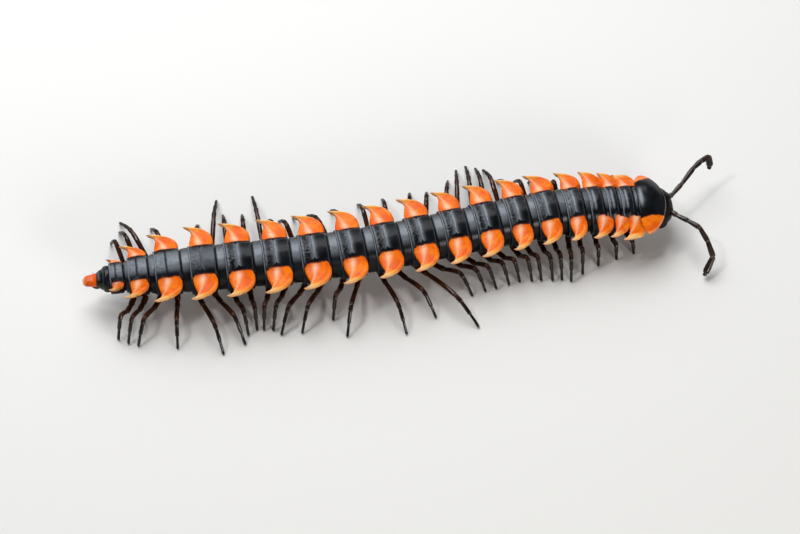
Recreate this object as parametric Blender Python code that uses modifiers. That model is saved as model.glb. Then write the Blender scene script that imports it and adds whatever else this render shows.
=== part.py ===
"""An orthomorpha millipede at life size, walking on level ground: head, collum, rings 2 to 19, telson,
two antennae and 31 pairs of legs. The head points along +X, +Y is the animal's left, the ground is Z 0.

Sizes are in millimetres, and MM turns them into metres where a mesh is made. Each ring has its own
frame: its origin on the body axis at the ring's rear edge, X forward, Y to the left.
"""

import math

import bmesh
import bpy
import numpy as np
from mathutils import Matrix, Vector

MM = 0.001

# Gap that neighbouring pieces keep
GAP = 0.3

# Body: height of its axis, how far the flat belly lies under the axis, the course of the axis and the
# way in degrees that the pieces on it head
AXIS_HEIGHT = 2.2
BELLY_DROP = 1.1
COLLUM_REAR_X = 14.75
AXIS_X = (-19.5, -17.2, -15.2, -12.9, -8.4, -3.8, 0.5, 4.7, 8.5, 11.8, 14.7, 17.0)
AXIS_Y = (0.58, 0.48, 0.36, 0.20, -0.02, -0.13, -0.01, 0.30, 0.57, 0.46, 0.16, -0.10)
AXIS_Z = (-0.12, -0.04, 0.00, 0.00, 0.00, 0.00, 0.00, 0.00, 0.00, -0.04, -0.14, -0.25)
AXIS_HEADING = (-2.5, -2.4, -1.6, -2.0, -1.5, 2.0, 3.9, 4.2, 4.2, 1.2, -2.0, -3.5)
AXIS_DEGREE = 6
AXIS_COURSE = np.polyfit(AXIS_X, AXIS_Y, AXIS_DEGREE)

# Rings 2 to 19, head to tail: length from rear edge to rear edge
FIRST_RING = 2
RING_PITCH = (0.99, 0.85, 1.12, 1.49, 1.84, 1.79, 2.01, 1.99, 2.16)
RING_PITCH += (2.17, 2.16, 2.32, 2.27, 2.28, 2.14, 2.13, 1.62, 1.12)
LAST_RING = FIRST_RING + len(RING_PITCH) - 1

# Ring sizes by ring number: barrel radius, width over the paranota tips, height of the tips over the axis
# and how far behind the rear edge they reach
SIZE_RING = (1, 2, 3, 4, 6, 8, 13, 16, 17, 18, 19)
RADIUS = (1.38, 1.38, 1.40, 1.44, 1.50, 1.50, 1.50, 1.48, 1.42, 1.22, 0.94)
SPAN = (4.25, 4.66, 4.68, 4.85, 5.05, 5.22, 5.26, 5.14, 4.72, 3.63, 2.15)
TIP_HEIGHT = (0.50, 0.30, 0.62, 0.74, 0.86, 0.88, 0.88, 0.86, 0.68, 0.60, 0.42)
HOOK_REACH = (0.16, 0.19, 0.21, 0.19, 0.13, 0.12, 0.12, 0.15, 0.26, 0.38, 0.13)

# The barrel: share of its length that is metatergite, the narrower prozonite in front of it, the cross
# furrow that rings with a long metatergite have, and the slightly wider rear edge
BARREL_SIDES = 16
METATERGITE_SHARE = 0.74
SHORTEST_PROZONITE = 0.05
STRICTURE_DEPTH = 0.10
STRICTURE_WIDTH = 0.05
PROZONITE_RISE = 0.04
PROZONITE_BEVEL = 0.08
SULCUS_FROM_LENGTH = 1.0
SULCUS_DEPTH = 0.05
SULCUS_PLACE = 0.47
SULCUS_WIDTH = 0.16
REAR_FLARE = 0.03

# The paranotum in plan, from its root to its tip: share of the way out, front and rear edge as shares
# of the metatergite's length, and thickness
PARANOTUM_PLAN = (
    (-0.40, 0.90, 0.24, 0.50),
    (0.10, 1.00, 0.08, 0.56),
    (0.48, 0.97, 0.08, 0.52),
    (0.75, 0.81, 0.17, 0.50),
    (0.90, 0.56, 0.15, 0.42),
    (1.00, 0.07, 0.00, 0.20),
)
HOOK_FROM_SHARE = 0.4
PARANOTUM_ROOT = 0.70
PARANOTUM_BEVEL = 0.16
PARANOTUM_BEVEL_SHARE = 0.3

# Collum: the neck shield, by distance ahead of its rear edge: half width, top and side height, thickness
COLLUM_STATIONS = (
    (0.00, 2.12, 1.42, 0.48, 0.46),
    (0.45, 2.10, 1.43, 0.50, 0.50),
    (0.90, 1.90, 1.34, 0.56, 0.50),
    (1.30, 1.50, 1.16, 0.62, 0.44),
    (1.70, 0.85, 0.90, 0.74, 0.30),
)
COLLUM_CORNER = 0.40
COLLUM_CORNER_POWER = 5
COLLUM_POINTS = 13
COLLUM_ARCH = 1.9
COLLUM_INNER_NARROWER = 0.06
COLLUM_SIDE_THINNER = 0.45
COLLUM_BLACK_HALF = 1.30

# Head: a rounded capsule under the collum, turned a little to the left, with a cheek on each side and the
# lip below
HEAD_LENGTH = 2.32
HEAD_WIDTH = 2.72
HEAD_HEIGHT = 1.96
HEAD_CENTRE_Z = 1.65
HEAD_TO_LEFT = 0.34
CHEEK_SIZE = (0.86, 0.62, 0.96)
CHEEK_PLACE = (0.18, 1.00, -0.30)
LIP_SIZE = (0.62, 1.06, 0.66)
LIP_PLACE = (0.66, 0.0, -0.58)

# Antennae: joints from root to tip as places ahead of, beside and above the head's middle on the ground,
# and the radius there
ANTENNA_SIDES = 8
ANTENNA_LEFT = (
    (0.98, 0.48, 2.02, 0.18),
    (1.19, 0.56, 2.05, 0.24),
    (1.87, 1.20, 2.14, 0.25),
    (2.76, 2.16, 2.35, 0.25),
    (3.25, 2.53, 2.46, 0.25),
    (3.82, 2.85, 2.38, 0.25),
    (3.89, 2.66, 1.72, 0.25),
    (3.84, 2.57, 1.50, 0.16),
)
ANTENNA_RIGHT = (
    (0.98, -0.58, 1.95, 0.18),
    (1.25, -0.88, 1.95, 0.24),
    (1.91, -1.42, 2.00, 0.25),
    (2.51, -1.97, 2.00, 0.25),
    (2.91, -2.74, 1.58, 0.25),
    (3.14, -3.60, 1.10, 0.25),
    (2.60, -4.29, 0.44, 0.25),
    (2.54, -4.36, 0.31, 0.16),
)

# Telson, by distance behind its front face: half width, half height, height over the axis
TELSON_STATIONS = (
    (0.00, 0.76, 0.76, 0.00),
    (0.15, 0.65, 0.65, 0.00),
    (0.32, 0.55, 0.53, 0.02),
    (0.49, 0.46, 0.40, 0.02),
    (0.62, 0.42, 0.31, 0.02),
    (1.00, 0.35, 0.27, 0.00),
    (1.22, 0.28, 0.21, -0.02),
    (1.31, 0.19, 0.14, -0.03),
)
EPIPROCT_STATION = 3
TELSON_SIDES = 12
VALVE_SIZE = (0.76, 0.50, 0.90)
VALVE_PLACE = (-0.48, 0.17, -0.22)

# Sternum halves: the plates on each side of the belly's middle groove, which the legs grow from
STERNUM_INNER = 0.15
STERNUM_OUTER = 0.80
STERNUM_BOTTOM = 0.42
STERNUM_REAR = 0.02
STERNUM_FRONT = 0.96

# Legs: rings with one pair and with two, where on the metatergite's length each grows, and the height
# and reach of each joint. Legs that reach less than SHORT_REACH have their first joints scaled down.
ONE_PAIR_RINGS = (2, 3, 4)
TWO_PAIR_RINGS = tuple(range(5, 19))
LEG_PLACE_ONE = (0.48,)
LEG_PLACE_TWO = (0.18, 0.80)
LEG_ROOT_Y = 0.52
LEG_ROOT_Z = 0.54
LEG_SIDES = 6
LEG_RADIUS = 0.25
COXA_REACH = 0.50
COXA_END_Z = 0.50
PREFEMUR_REACH = 1.16
PREFEMUR_END_Z = 0.72
KNEE_SHARE = 0.55
KNEE_HEIGHT = 2.20
KNEE_SINK = 0.16
KNEE_STEEP = 0.66
SHORT_REACH = 2.40
FOOT_RADIUS = 0.10
FOOT_RISE = 0.14

# Joints between knee and foot: share of the way out, share of the knee's height, share of the radius
LEG_BELOW_KNEE = ((0.24, 0.90, 1.00), (0.62, 0.52, 0.84))

# Feet on each side, by where along the body the leg grows: how far ahead of the root the foot stands,
# and how far out from the axis
FEET_LEFT = (
    (-16.5, -1.05, 3.7),
    (-15.8, -1.00, 4.4),
    (-14.8, -2.10, 5.4),
    (-13.8, -1.30, 4.6),
    (-12.6, 0.60, 4.4),
    (-11.6, 0.95, 6.2),
    (-10.4, 0.05, 5.1),
    (-9.4, 0.20, 4.9),
    (-8.1, -0.25, 6.3),
    (-7.1, -0.50, 4.4),
    (-5.8, -1.00, 4.3),
    (-3.5, -1.35, 4.5),
    (-1.4, -0.25, 4.7),
    (0.8, 1.00, 4.8),
    (1.8, 1.05, 4.6),
    (2.9, 1.40, 5.1),
    (3.9, 1.15, 5.8),
    (4.9, 0.75, 5.9),
    (5.9, 0.35, 5.6),
    (6.9, -0.25, 5.4),
    (7.7, -0.45, 4.4),
    (9.5, -0.40, 3.9),
    (12.2, 0.10, 2.6),
    (14.1, 0.35, 2.1),
)
FEET_RIGHT = (
    (-16.5, -1.20, 3.0),
    (-15.8, -1.25, 3.4),
    (-14.8, -1.95, 3.6),
    (-13.8, -0.55, 4.1),
    (-12.6, 1.15, 4.9),
    (-11.6, 1.60, 4.4),
    (-10.4, 0.65, 3.7),
    (-9.4, 0.20, 3.4),
    (-8.1, -0.70, 3.4),
    (-7.1, -1.15, 3.5),
    (-5.8, -2.10, 3.8),
    (-4.8, -1.90, 3.9),
    (-3.5, -1.20, 3.2),
    (-2.5, -1.60, 4.6),
    (-1.4, 0.70, 5.1),
    (-0.4, 1.70, 4.3),
    (0.8, 2.85, 5.6),
    (1.8, 2.00, 3.3),
    (5.8, 1.00, 3.1),
    (8.7, 0.10, 3.4),
    (10.5, -0.50, 3.6),
    (12.2, -0.20, 2.7),
    (14.1, 0.30, 2.0),
)


def clear_scene():
    for obj in list(bpy.data.objects):
        bpy.data.objects.remove(obj, do_unlink=True)


def new_collection(name):
    collection = bpy.data.collections.new(name)
    bpy.context.scene.collection.children.link(collection)
    return collection


def make_material(name, colour, roughness):
    material = bpy.data.materials.new(name)
    material.use_nodes = True
    shader = material.node_tree.nodes["Principled BSDF"]
    shader.inputs["Base Color"].default_value = (*colour, 1.0)
    shader.inputs["Roughness"].default_value = roughness
    shader.inputs["Metallic"].default_value = 0.0
    return material


def painted(mesh, material):
    mesh.materials.clear()
    mesh.materials.append(material)
    return mesh


def new_object(name, mesh, collection):
    obj = bpy.data.objects.new(name, mesh)
    collection.objects.link(obj)
    return obj


def ring_size(table, ring):
    return float(np.interp(ring, SIZE_RING, table))


def axis_point(x):
    """Side and height of the body axis at x."""
    y = np.polyval(AXIS_COURSE, x)
    z = AXIS_HEIGHT + np.interp(x, AXIS_X, AXIS_Z)
    return float(y), float(z)


def axis_heading(x):
    return math.radians(np.interp(x, AXIS_X, AXIS_HEADING))


def frame_at(x):
    """The frame of a piece whose rear edge is at x: on the body axis, turned along it."""
    y, z = axis_point(x)
    return Matrix.Translation((x, y, z)) @ Matrix.Rotation(axis_heading(x), 4, "Z")


def ring_rear_x(ring):
    """Where the rear edge of a ring lies along the body."""
    return COLLUM_REAR_X - sum(RING_PITCH[: ring - FIRST_RING + 1])


def solid_from_points(sections):
    """A closed solid through rows of points, each row one loop with the same count of points."""
    bm = bmesh.new()
    rows = [[bm.verts.new(point) for point in section] for section in sections]
    count = len(rows[0])
    for row, following in zip(rows, rows[1:]):
        for i in range(count):
            j = (i + 1) % count
            bm.faces.new((row[i], row[j], following[j], following[i]))
    bm.faces.new(rows[0])
    bm.faces.new(rows[-1])
    bmesh.ops.recalc_face_normals(bm, faces=bm.faces)
    return bm


def evaluated_mesh(obj):
    graph = bpy.context.evaluated_depsgraph_get()
    return bpy.data.meshes.new_from_object(obj.evaluated_get(graph))


def turned_mesh(name, profile):
    """A barrel round X from a profile of distance along X and radius, front to rear, by a Screw."""
    mesh = bpy.data.meshes.new(name)
    points = [(radius, 0, along) for along, radius in profile]
    edges = [(i, i + 1) for i in range(len(points) - 1)]
    mesh.from_pydata(points, edges, [])
    obj = new_object(name, mesh, bpy.context.scene.collection)
    screw = obj.modifiers.new("turn", "SCREW")
    screw.axis = "Z"
    screw.steps = BARREL_SIDES
    screw.render_steps = BARREL_SIDES
    screw.use_merge_vertices = True
    screw.merge_threshold = 0.0001
    turned = evaluated_mesh(obj)
    turned.transform(Matrix.Rotation(math.radians(90), 4, "Y"))
    bpy.data.objects.remove(obj, do_unlink=True)
    return turned


def mesh_of(bm, name):
    mesh = bpy.data.meshes.new(name)
    bm.to_mesh(mesh)
    bm.free()
    return mesh


def ellipsoid(size, place, across, rings):
    """A closed ball of the given size across each axis, at its place."""
    bm = bmesh.new()
    bmesh.ops.create_uvsphere(bm, u_segments=across, v_segments=rings, radius=0.5)
    bmesh.ops.scale(bm, vec=size, verts=bm.verts)
    bmesh.ops.translate(bm, vec=place, verts=bm.verts)
    return bm


def tube_mesh(name, joints, sides):
    """A round limb through joints of place and radius: a bevelled curve with capped ends."""
    curve = bpy.data.curves.new(name, "CURVE")
    curve.dimensions = "3D"
    curve.bevel_depth = 1.0
    curve.bevel_resolution = sides // 2 - 2
    curve.use_fill_caps = True
    spline = curve.splines.new("POLY")
    spline.points.add(len(joints) - 1)
    for point, (x, y, z, radius) in zip(spline.points, joints):
        point.co = (x, y, z, 1)
        point.radius = radius
    obj = new_object(name, curve, bpy.context.scene.collection)
    bpy.context.view_layer.update()
    mesh = evaluated_mesh(obj)
    bpy.data.objects.remove(obj, do_unlink=True)
    bm = bmesh.new()
    bm.from_mesh(mesh)
    bmesh.ops.remove_doubles(bm, verts=bm.verts, dist=0.0001)
    bmesh.ops.recalc_face_normals(bm, faces=bm.faces)
    return mesh_of(bm, name)


def keep_largest_body(mesh):
    """Drops all but the closed surface with the most points."""
    bm = bmesh.new()
    bm.from_mesh(mesh)
    bm.verts.ensure_lookup_table()
    left = set(bm.verts)
    bodies = []
    while left:
        body = {left.pop()}
        edge_of_body = list(body)
        while edge_of_body:
            vert = edge_of_body.pop()
            for edge in vert.link_edges:
                other = edge.other_vert(vert)
                if other in left:
                    left.discard(other)
                    body.add(other)
                    edge_of_body.append(other)
        bodies.append(body)
    bodies.sort(key=len)
    for body in bodies[:-1]:
        bmesh.ops.delete(bm, geom=list(body), context="VERTS")
    bm.to_mesh(mesh)
    bm.free()


def fused(name, meshes):
    """One closed body from overlapping closed meshes."""
    pieces = new_collection(name + "_pieces")
    for i, mesh in enumerate(meshes[1:]):
        new_object(f"{name}_piece_{i}", mesh, pieces)
    obj = new_object(name, meshes[0], bpy.context.scene.collection)
    union = obj.modifiers.new("union", "BOOLEAN")
    union.operation = "UNION"
    union.operand_type = "COLLECTION"
    union.collection = pieces
    union.solver = "EXACT"
    union.material_mode = "TRANSFER"
    bpy.context.view_layer.update()
    mesh = evaluated_mesh(obj)
    for piece in list(pieces.objects):
        bpy.data.objects.remove(piece, do_unlink=True)
    bpy.data.objects.remove(obj, do_unlink=True)
    bpy.data.collections.remove(pieces)
    keep_largest_body(mesh)
    return mesh


def finish_node(name, mesh, frame, collection):
    """Turns a mesh in millimetres into the named object, in metres and in place."""
    mesh.name = name
    mesh.transform(Matrix.Scale(MM, 4))
    mesh.shade_smooth()
    mesh.set_sharp_from_angle(angle=math.radians(40))
    obj = new_object(name, mesh, collection)
    place = frame.copy()
    place.translation *= MM
    obj.matrix_world = place
    return obj


def flatten_belly(mesh):
    for vert in mesh.vertices:
        vert.co.z = max(vert.co.z, -BELLY_DROP)


def metatergite_length(pitch):
    return min(METATERGITE_SHARE * pitch, pitch - GAP - SHORTEST_PROZONITE)


def barrel_profile(pitch, radius):
    """Front to rear: the smooth prozonite, the stricture, the metatergite with its cross furrow."""
    length = pitch - GAP
    meta = metatergite_length(pitch)
    sulcus = SULCUS_PLACE * meta
    neck = radius - STRICTURE_DEPTH
    profile = [(length, 0.0)]
    if length - meta > STRICTURE_DEPTH:
        profile += [
            (length, neck),
            (length - PROZONITE_BEVEL, neck + PROZONITE_RISE),
            (meta + STRICTURE_WIDTH, neck),
        ]
    profile += [(meta, radius)]
    if meta > SULCUS_FROM_LENGTH:
        profile += [
            (sulcus + SULCUS_WIDTH / 2, radius),
            (sulcus, radius - SULCUS_DEPTH),
            (sulcus - SULCUS_WIDTH / 2, radius + REAR_FLARE / 2),
        ]
    profile += [(0.0, radius + REAR_FLARE), (0.0, 0.0)]
    return profile


def paranotum(pitch, radius, half_span, tip_height, hook_reach, side):
    """The wing on one side of a ring: rounded in front, drawn out behind into a hooked tip."""
    meta = metatergite_length(pitch)
    root_y = PARANOTUM_ROOT * radius
    root_z = math.sqrt(radius**2 - root_y**2)
    sections = []
    for share, front, rear, thickness in PARANOTUM_PLAN:
        y = root_y + share * (half_span - root_y)
        half = thickness / 2
        top = root_z + max(share, 0.0) * (tip_height - root_z)
        middle = top - half
        sweep = hook_reach * max(share - HOOK_FROM_SHARE, 0.0) / (1 - HOOK_FROM_SHARE)
        x_front = front * meta - sweep
        x_rear = rear * meta - sweep
        bevel = min(PARANOTUM_BEVEL, PARANOTUM_BEVEL_SHARE * (x_front - x_rear))
        sections.append(
            [
                (x_front, side * y, middle),
                (x_front - bevel, side * y, middle + half),
                (x_rear + bevel, side * y, middle + half),
                (x_rear, side * y, middle),
                (x_rear + bevel, side * y, middle - half),
                (x_front - bevel, side * y, middle - half),
            ]
        )
    return mesh_of(solid_from_points(sections), "paranotum")


def ring_mesh(ring, cuticle, orange):
    pitch = RING_PITCH[ring - FIRST_RING]
    radius = ring_size(RADIUS, ring)
    half_span = ring_size(SPAN, ring) / 2
    tip_height = ring_size(TIP_HEIGHT, ring)
    hook_reach = ring_size(HOOK_REACH, ring)
    barrel = turned_mesh("barrel", barrel_profile(pitch, radius))
    flatten_belly(barrel)
    wings = [
        paranotum(pitch, radius, half_span, tip_height, hook_reach, side) for side in (1, -1)
    ]
    pieces = [painted(barrel, cuticle)] + [painted(wing, orange) for wing in wings]
    return fused(f"ring_{ring:02d}", pieces)


def collum_mesh(cuticle, orange):
    """The neck shield: an arched plate, widest behind, its sides drawn out into orange flaps."""
    shares = np.linspace(-1.0, 1.0, COLLUM_POINTS)
    front_x = COLLUM_STATIONS[-1][0]
    sections = []
    for x, half_width, top, side_height, thickness in COLLUM_STATIONS:
        corner = COLLUM_CORNER * (1 - x / front_x)
        outer = [
            (
                x + corner * abs(share) ** COLLUM_CORNER_POWER,
                share * half_width,
                top - (top - side_height) * abs(share) ** COLLUM_ARCH,
            )
            for share in shares
        ]
        inner = [
            (
                x,
                y * (1 - COLLUM_INNER_NARROWER * abs(share)),
                z - thickness * (1 - COLLUM_SIDE_THINNER * abs(share)),
            )
            for share, (x, y, z) in zip(shares, outer)
        ]
        sections.append(outer + inner[::-1])
    mesh = painted(mesh_of(solid_from_points(sections), "collum"), cuticle)
    mesh.materials.append(orange)
    for face in mesh.polygons:
        face.material_index = int(abs(face.center.y) > COLLUM_BLACK_HALF)
    return mesh


def head_mesh(cuticle):
    """The head capsule with its cheeks and lip, round its own middle."""
    capsule = ellipsoid((HEAD_LENGTH, HEAD_WIDTH, HEAD_HEIGHT), (0, 0, 0), 20, 14)
    pieces = [mesh_of(capsule, "capsule")]
    for side in (1, -1):
        x, y, z = CHEEK_PLACE
        pieces.append(mesh_of(ellipsoid(CHEEK_SIZE, (x, side * y, z), 12, 8), "cheek"))
    pieces.append(mesh_of(ellipsoid(LIP_SIZE, LIP_PLACE, 12, 8), "lip"))
    return fused("head", [painted(piece, cuticle) for piece in pieces])


def telson_mesh(cuticle, orange):
    """The last ring: a cone that ends in the blunt epiproct, with two anal valves under it."""
    angles = [2 * math.pi * i / TELSON_SIDES for i in range(TELSON_SIDES)]
    sections = [
        [
            (-behind, half_width * math.cos(angle), lift + half_height * math.sin(angle))
            for angle in angles
        ]
        for behind, half_width, half_height, lift in TELSON_STATIONS
    ]
    cone = painted(mesh_of(solid_from_points(sections), "cone"), cuticle)
    cone.materials.append(orange)
    for face in cone.polygons:
        face.material_index = int(face.center.x < -TELSON_STATIONS[EPIPROCT_STATION][0])
    pieces = [cone]
    for side in (1, -1):
        x, y, z = VALVE_PLACE
        valve = mesh_of(ellipsoid(VALVE_SIZE, (x, side * y, z), 10, 8), "valve")
        pieces.append(painted(valve, cuticle))
    return fused("telson", pieces)


def foot_of(side, root_x):
    """How far ahead of its root a foot stands, and how far out from the axis."""
    table = np.array(FEET_LEFT if side > 0 else FEET_RIGHT)
    return [float(np.interp(root_x, table[:, 0], table[:, i])) for i in (1, 2)]


def leg_joints(root, foot):
    """Joints from the coxa to the tip of the tarsus, in the upright plane from root to foot."""
    root, foot = Vector(root), Vector(foot)
    way = Vector((foot.x - root.x, foot.y - root.y))
    length = way.length
    short = min(1.0, length / SHORT_REACH)
    knee_z = min(KNEE_HEIGHT - KNEE_SINK * length, KNEE_STEEP * length)
    thigh = PREFEMUR_REACH * short
    knee = thigh + KNEE_SHARE * (length - thigh)
    below = length - knee
    outline = [
        (0.0, LEG_ROOT_Z, LEG_RADIUS),
        (COXA_REACH * short, COXA_END_Z, LEG_RADIUS),
        (thigh, PREFEMUR_END_Z, LEG_RADIUS),
        (knee, knee_z, LEG_RADIUS),
    ]
    for way_out, height, thickness in LEG_BELOW_KNEE:
        outline.append((knee + way_out * below, knee_z * height, LEG_RADIUS * thickness))
    outline += [(length, FOOT_RISE, FOOT_RADIUS), (length, 0.0, FOOT_RADIUS)]
    way.normalize()
    return [
        (root.x + way.x * along, root.y + way.y * along, z, radius)
        for along, z, radius in outline
    ]


def legs_mesh(ring, side, limb):
    """One side's leg or two legs of a ring, on its half of the sternum."""
    rear_x = ring_rear_x(ring)
    meta = metatergite_length(RING_PITCH[ring - FIRST_RING])
    places = LEG_PLACE_ONE if ring in ONE_PAIR_RINGS else LEG_PLACE_TWO
    belly = axis_point(rear_x)[1] - BELLY_DROP
    bm = bmesh.new()
    bmesh.ops.create_cube(bm, size=1.0)
    low = Vector((STERNUM_REAR * meta, STERNUM_INNER, STERNUM_BOTTOM))
    high = Vector((STERNUM_FRONT * meta, STERNUM_OUTER, belly - GAP))
    bmesh.ops.scale(bm, vec=high - low, verts=bm.verts)
    middle = (low + high) / 2
    bmesh.ops.translate(bm, vec=(middle.x, side * middle.y, middle.z), verts=bm.verts)
    pieces = [mesh_of(bm, "sternum")]
    for place in places:
        root_x = place * meta
        ahead, out = foot_of(side, rear_x + root_x)
        joints = leg_joints((root_x, side * LEG_ROOT_Y, 0), (root_x + ahead, side * out, 0))
        pieces.append(tube_mesh("leg", joints, LEG_SIDES))
    return fused(f"legs_{ring:02d}", [painted(piece, limb) for piece in pieces])


def build():
    clear_scene()
    animal = new_collection("orthomorpha_millipede")
    cuticle = make_material("black_cuticle", (0.012, 0.013, 0.016), 0.32)
    orange = make_material("orange_cuticle", (0.85, 0.16, 0.02), 0.38)
    limb = make_material("brown_limb", (0.070, 0.026, 0.012), 0.35)
    feeler = make_material("dark_feeler", (0.028, 0.014, 0.010), 0.40)

    collum = collum_mesh(cuticle, orange)
    finish_node("collum", collum, frame_at(COLLUM_REAR_X), animal)
    head_frame = frame_at(COLLUM_REAR_X + HEAD_LENGTH / 2) @ Matrix.Translation((0, HEAD_TO_LEFT, 0))
    head_frame.translation.z = HEAD_CENTRE_Z
    finish_node("head", head_mesh(cuticle), head_frame, animal)
    ground_frame = head_frame.copy()
    ground_frame.translation.z = 0
    for side_name, joints in (("left", ANTENNA_LEFT), ("right", ANTENNA_RIGHT)):
        antenna = painted(tube_mesh("antenna", joints, ANTENNA_SIDES), feeler)
        finish_node(f"antenna_{side_name}", antenna, ground_frame, animal)

    for ring in range(FIRST_RING, LAST_RING + 1):
        frame = frame_at(ring_rear_x(ring))
        finish_node(f"ring_{ring:02d}", ring_mesh(ring, cuticle, orange), frame, animal)
    telson_frame = frame_at(ring_rear_x(LAST_RING) - GAP)
    finish_node("telson", telson_mesh(cuticle, orange), telson_frame, animal)

    for ring in ONE_PAIR_RINGS + TWO_PAIR_RINGS:
        frame = frame_at(ring_rear_x(ring))
        frame.translation.z = 0
        for side, side_name in ((1, "left"), (-1, "right")):
            legs = legs_mesh(ring, side, limb)
            finish_node(f"legs_{ring:02d}_{side_name}", legs, frame, animal)


build()
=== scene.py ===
"""An orthomorpha millipede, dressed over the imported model: the finish and fine shape of every piece.

Sizes are in millimetres, as the piece's own section gives them, and MM turns them into metres where a
mesh is made. The head points along +X, +Y is the animal's left and the ground is Z 0.
"""

import math

import bmesh
import bpy
import numpy as np
from mathutils import Matrix, Vector, noise


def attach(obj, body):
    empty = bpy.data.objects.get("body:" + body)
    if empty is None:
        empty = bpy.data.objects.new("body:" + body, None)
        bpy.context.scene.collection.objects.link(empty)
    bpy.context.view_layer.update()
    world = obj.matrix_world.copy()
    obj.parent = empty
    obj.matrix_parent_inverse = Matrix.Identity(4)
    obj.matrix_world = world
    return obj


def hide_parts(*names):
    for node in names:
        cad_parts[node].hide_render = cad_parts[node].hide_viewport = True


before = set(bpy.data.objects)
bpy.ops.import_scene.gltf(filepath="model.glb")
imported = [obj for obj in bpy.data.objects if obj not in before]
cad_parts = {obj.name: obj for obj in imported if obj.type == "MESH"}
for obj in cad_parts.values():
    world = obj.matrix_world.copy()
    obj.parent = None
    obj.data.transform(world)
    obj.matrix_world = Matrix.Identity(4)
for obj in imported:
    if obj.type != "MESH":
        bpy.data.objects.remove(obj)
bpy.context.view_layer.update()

# Trunk rings 2 to 19. Each is one hollow ring of hard, limy cuticle: a smooth narrow collar in front, the
# prozonite, slides into the ring ahead, and the leathery metatergite behind it has a hooked orange wing,
# the paranotum, on each side. Soft skin inside the collars ties each ring to the next.
MM = 0.001
AXIS_HEIGHT = 2.2
AXIS_X = (-19.5, -17.2, -15.2, -12.9, -8.4, -3.8, 0.5, 4.7, 8.5, 11.8, 14.7, 17.0)
AXIS_Y = (0.58, 0.48, 0.36, 0.20, -0.02, -0.13, -0.01, 0.30, 0.57, 0.46, 0.16, -0.10)
AXIS_Z = (-0.12, -0.04, 0.00, 0.00, 0.00, 0.00, 0.00, 0.00, 0.00, -0.04, -0.14, -0.25)
AXIS_HEADING = (-2.5, -2.4, -1.6, -2.0, -1.5, 2.0, 3.9, 4.2, 4.2, 1.2, -2.0, -3.5)
AXIS_COURSE = np.polyfit(AXIS_X, AXIS_Y, 6)
COLLUM_REAR_X = 14.75
FIRST_RING = 2
RING_PITCH = (0.99, 0.85, 1.12, 1.49, 1.84, 1.79, 2.01, 1.99, 2.16)
RING_PITCH += (2.17, 2.16, 2.32, 2.27, 2.28, 2.14, 2.13, 1.62, 1.12)
LAST_RING = FIRST_RING + len(RING_PITCH) - 1
SIZE_RING = (1, 2, 3, 4, 6, 8, 13, 16, 17, 18, 19)
RADIUS = (1.38, 1.38, 1.40, 1.44, 1.50, 1.50, 1.50, 1.48, 1.42, 1.22, 0.94)
SPAN = (4.25, 4.66, 4.68, 4.85, 5.05, 5.22, 5.26, 5.14, 4.72, 3.63, 2.15)
TIP_HEIGHT = (0.50, 0.30, 0.62, 0.74, 0.86, 0.88, 0.88, 0.86, 0.68, 0.60, 0.42)
BLACK_HALF = (1.14, 1.10, 1.06, 1.05, 1.05, 1.05, 1.05, 1.04, 1.00, 0.85, 0.70)
METATERGITE_SHARE = 0.74
SHORTEST_PROZONITE = 0.22
BELLY_DROP = 1.1
BELLY_SOFTNESS = 0.12
AROUND = 208
TUCK = 0.24
NECK_DROP = 0.10
STRICTURE_BEHIND = 0.07
STRICTURE_DEPTH = 0.05
SULCUS_SHARE = 0.47
SULCUS_DEPTH = 0.032
SULCUS_WIDTH = 0.055
SULCUS_FROM_LENGTH = 0.9
DORSAL_SWELL = 0.025
RIM_RISE = 0.018
LIP_THICKNESS = 0.07
RECESS = 0.30
WRINKLE_HEIGHT = 0.010
LEATHER_HEIGHT = 0.034
MIDLINE_DEPTH = 0.014

# Satin highlights painted in grey onto the black top of a ring, strongest on its crown. Strips across the
# ring are given by their strength, place and width, from the ring's rear edge or from the sulcus
RIM_SHEEN = (1.0, 0.045, 0.032)
REAR_SHEEN = (0.62, 0.19, 0.06)
SULCUS_SHEEN = (0.62, 0.00, 0.17)
SULCUS_LIP_SHEEN = (0.32, 0.05, 0.05)
FRONT_RING_SHEEN = (0.85, 0.12, 0.055)
FRONT_RING_WIDE_SHEEN = (0.90, 0.33, 0.075)
COLLAR_SHEEN = 0.66
FRONT_COLLAR_SHEEN = 0.40
TAIL_SHEEN = 0.66

# The wing in plan, by share of the way out: front and rear edge as shares of the metatergite's length,
# and its thickness
WING_SHARE = (-0.40, 0.00, 0.30, 0.52, 0.72, 0.87, 0.96, 1.00)
WING_FRONT = (0.98, 1.00, 1.01, 0.965, 0.83, 0.60, 0.28, -0.08)
WING_REAR = (0.10, 0.07, 0.09, 0.15, 0.20, 0.13, 0.01, -0.09)
WING_THICKNESS = (0.60, 0.54, 0.44, 0.36, 0.32, 0.31, 0.29, 0.24)
WING_ROOT = 0.70
LONG_WINGS = {2: 1.22, 3: 1.04, 4: 1.12}
LONG_WING_TUCK = 0.20
SHOULDER_WING_FRONT = (0.98, 1.00, 1.01, 1.00, 0.97, 0.86, 0.58, -0.06)
HOOK_REACH = (0.06, 0.09, 0.12, 0.09, 0.03, 0.01, 0.00, 0.02, 0.14, 0.28, 0.06)
LONG_WING_SWEEP = 0.20
FAR_WING_SWEEP = 0.14
FAR_WING_AHEAD = {2: 0.10, 3: 0.06, 4: 0.24, 5: 0.22, 6: 0.18, 7: 0.12}
FAR_LONG_WING_REAR = (0.10, 0.07, 0.07, 0.08, 0.07, 0.03, -0.02, -0.09)
WING_ROOT_SINK = 0.26
WING_FILLET = 0.12
WING_DISH = 0.06
HOOK_RISE = 0.07
CALLUS_RISE = 0.035
CALLUS_PLACE = 0.09
CALLUS_WIDTH = 0.06
FOLD_SHARE = (-0.40, 0.00, 0.30, 0.55, 0.78, 1.00)
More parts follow.
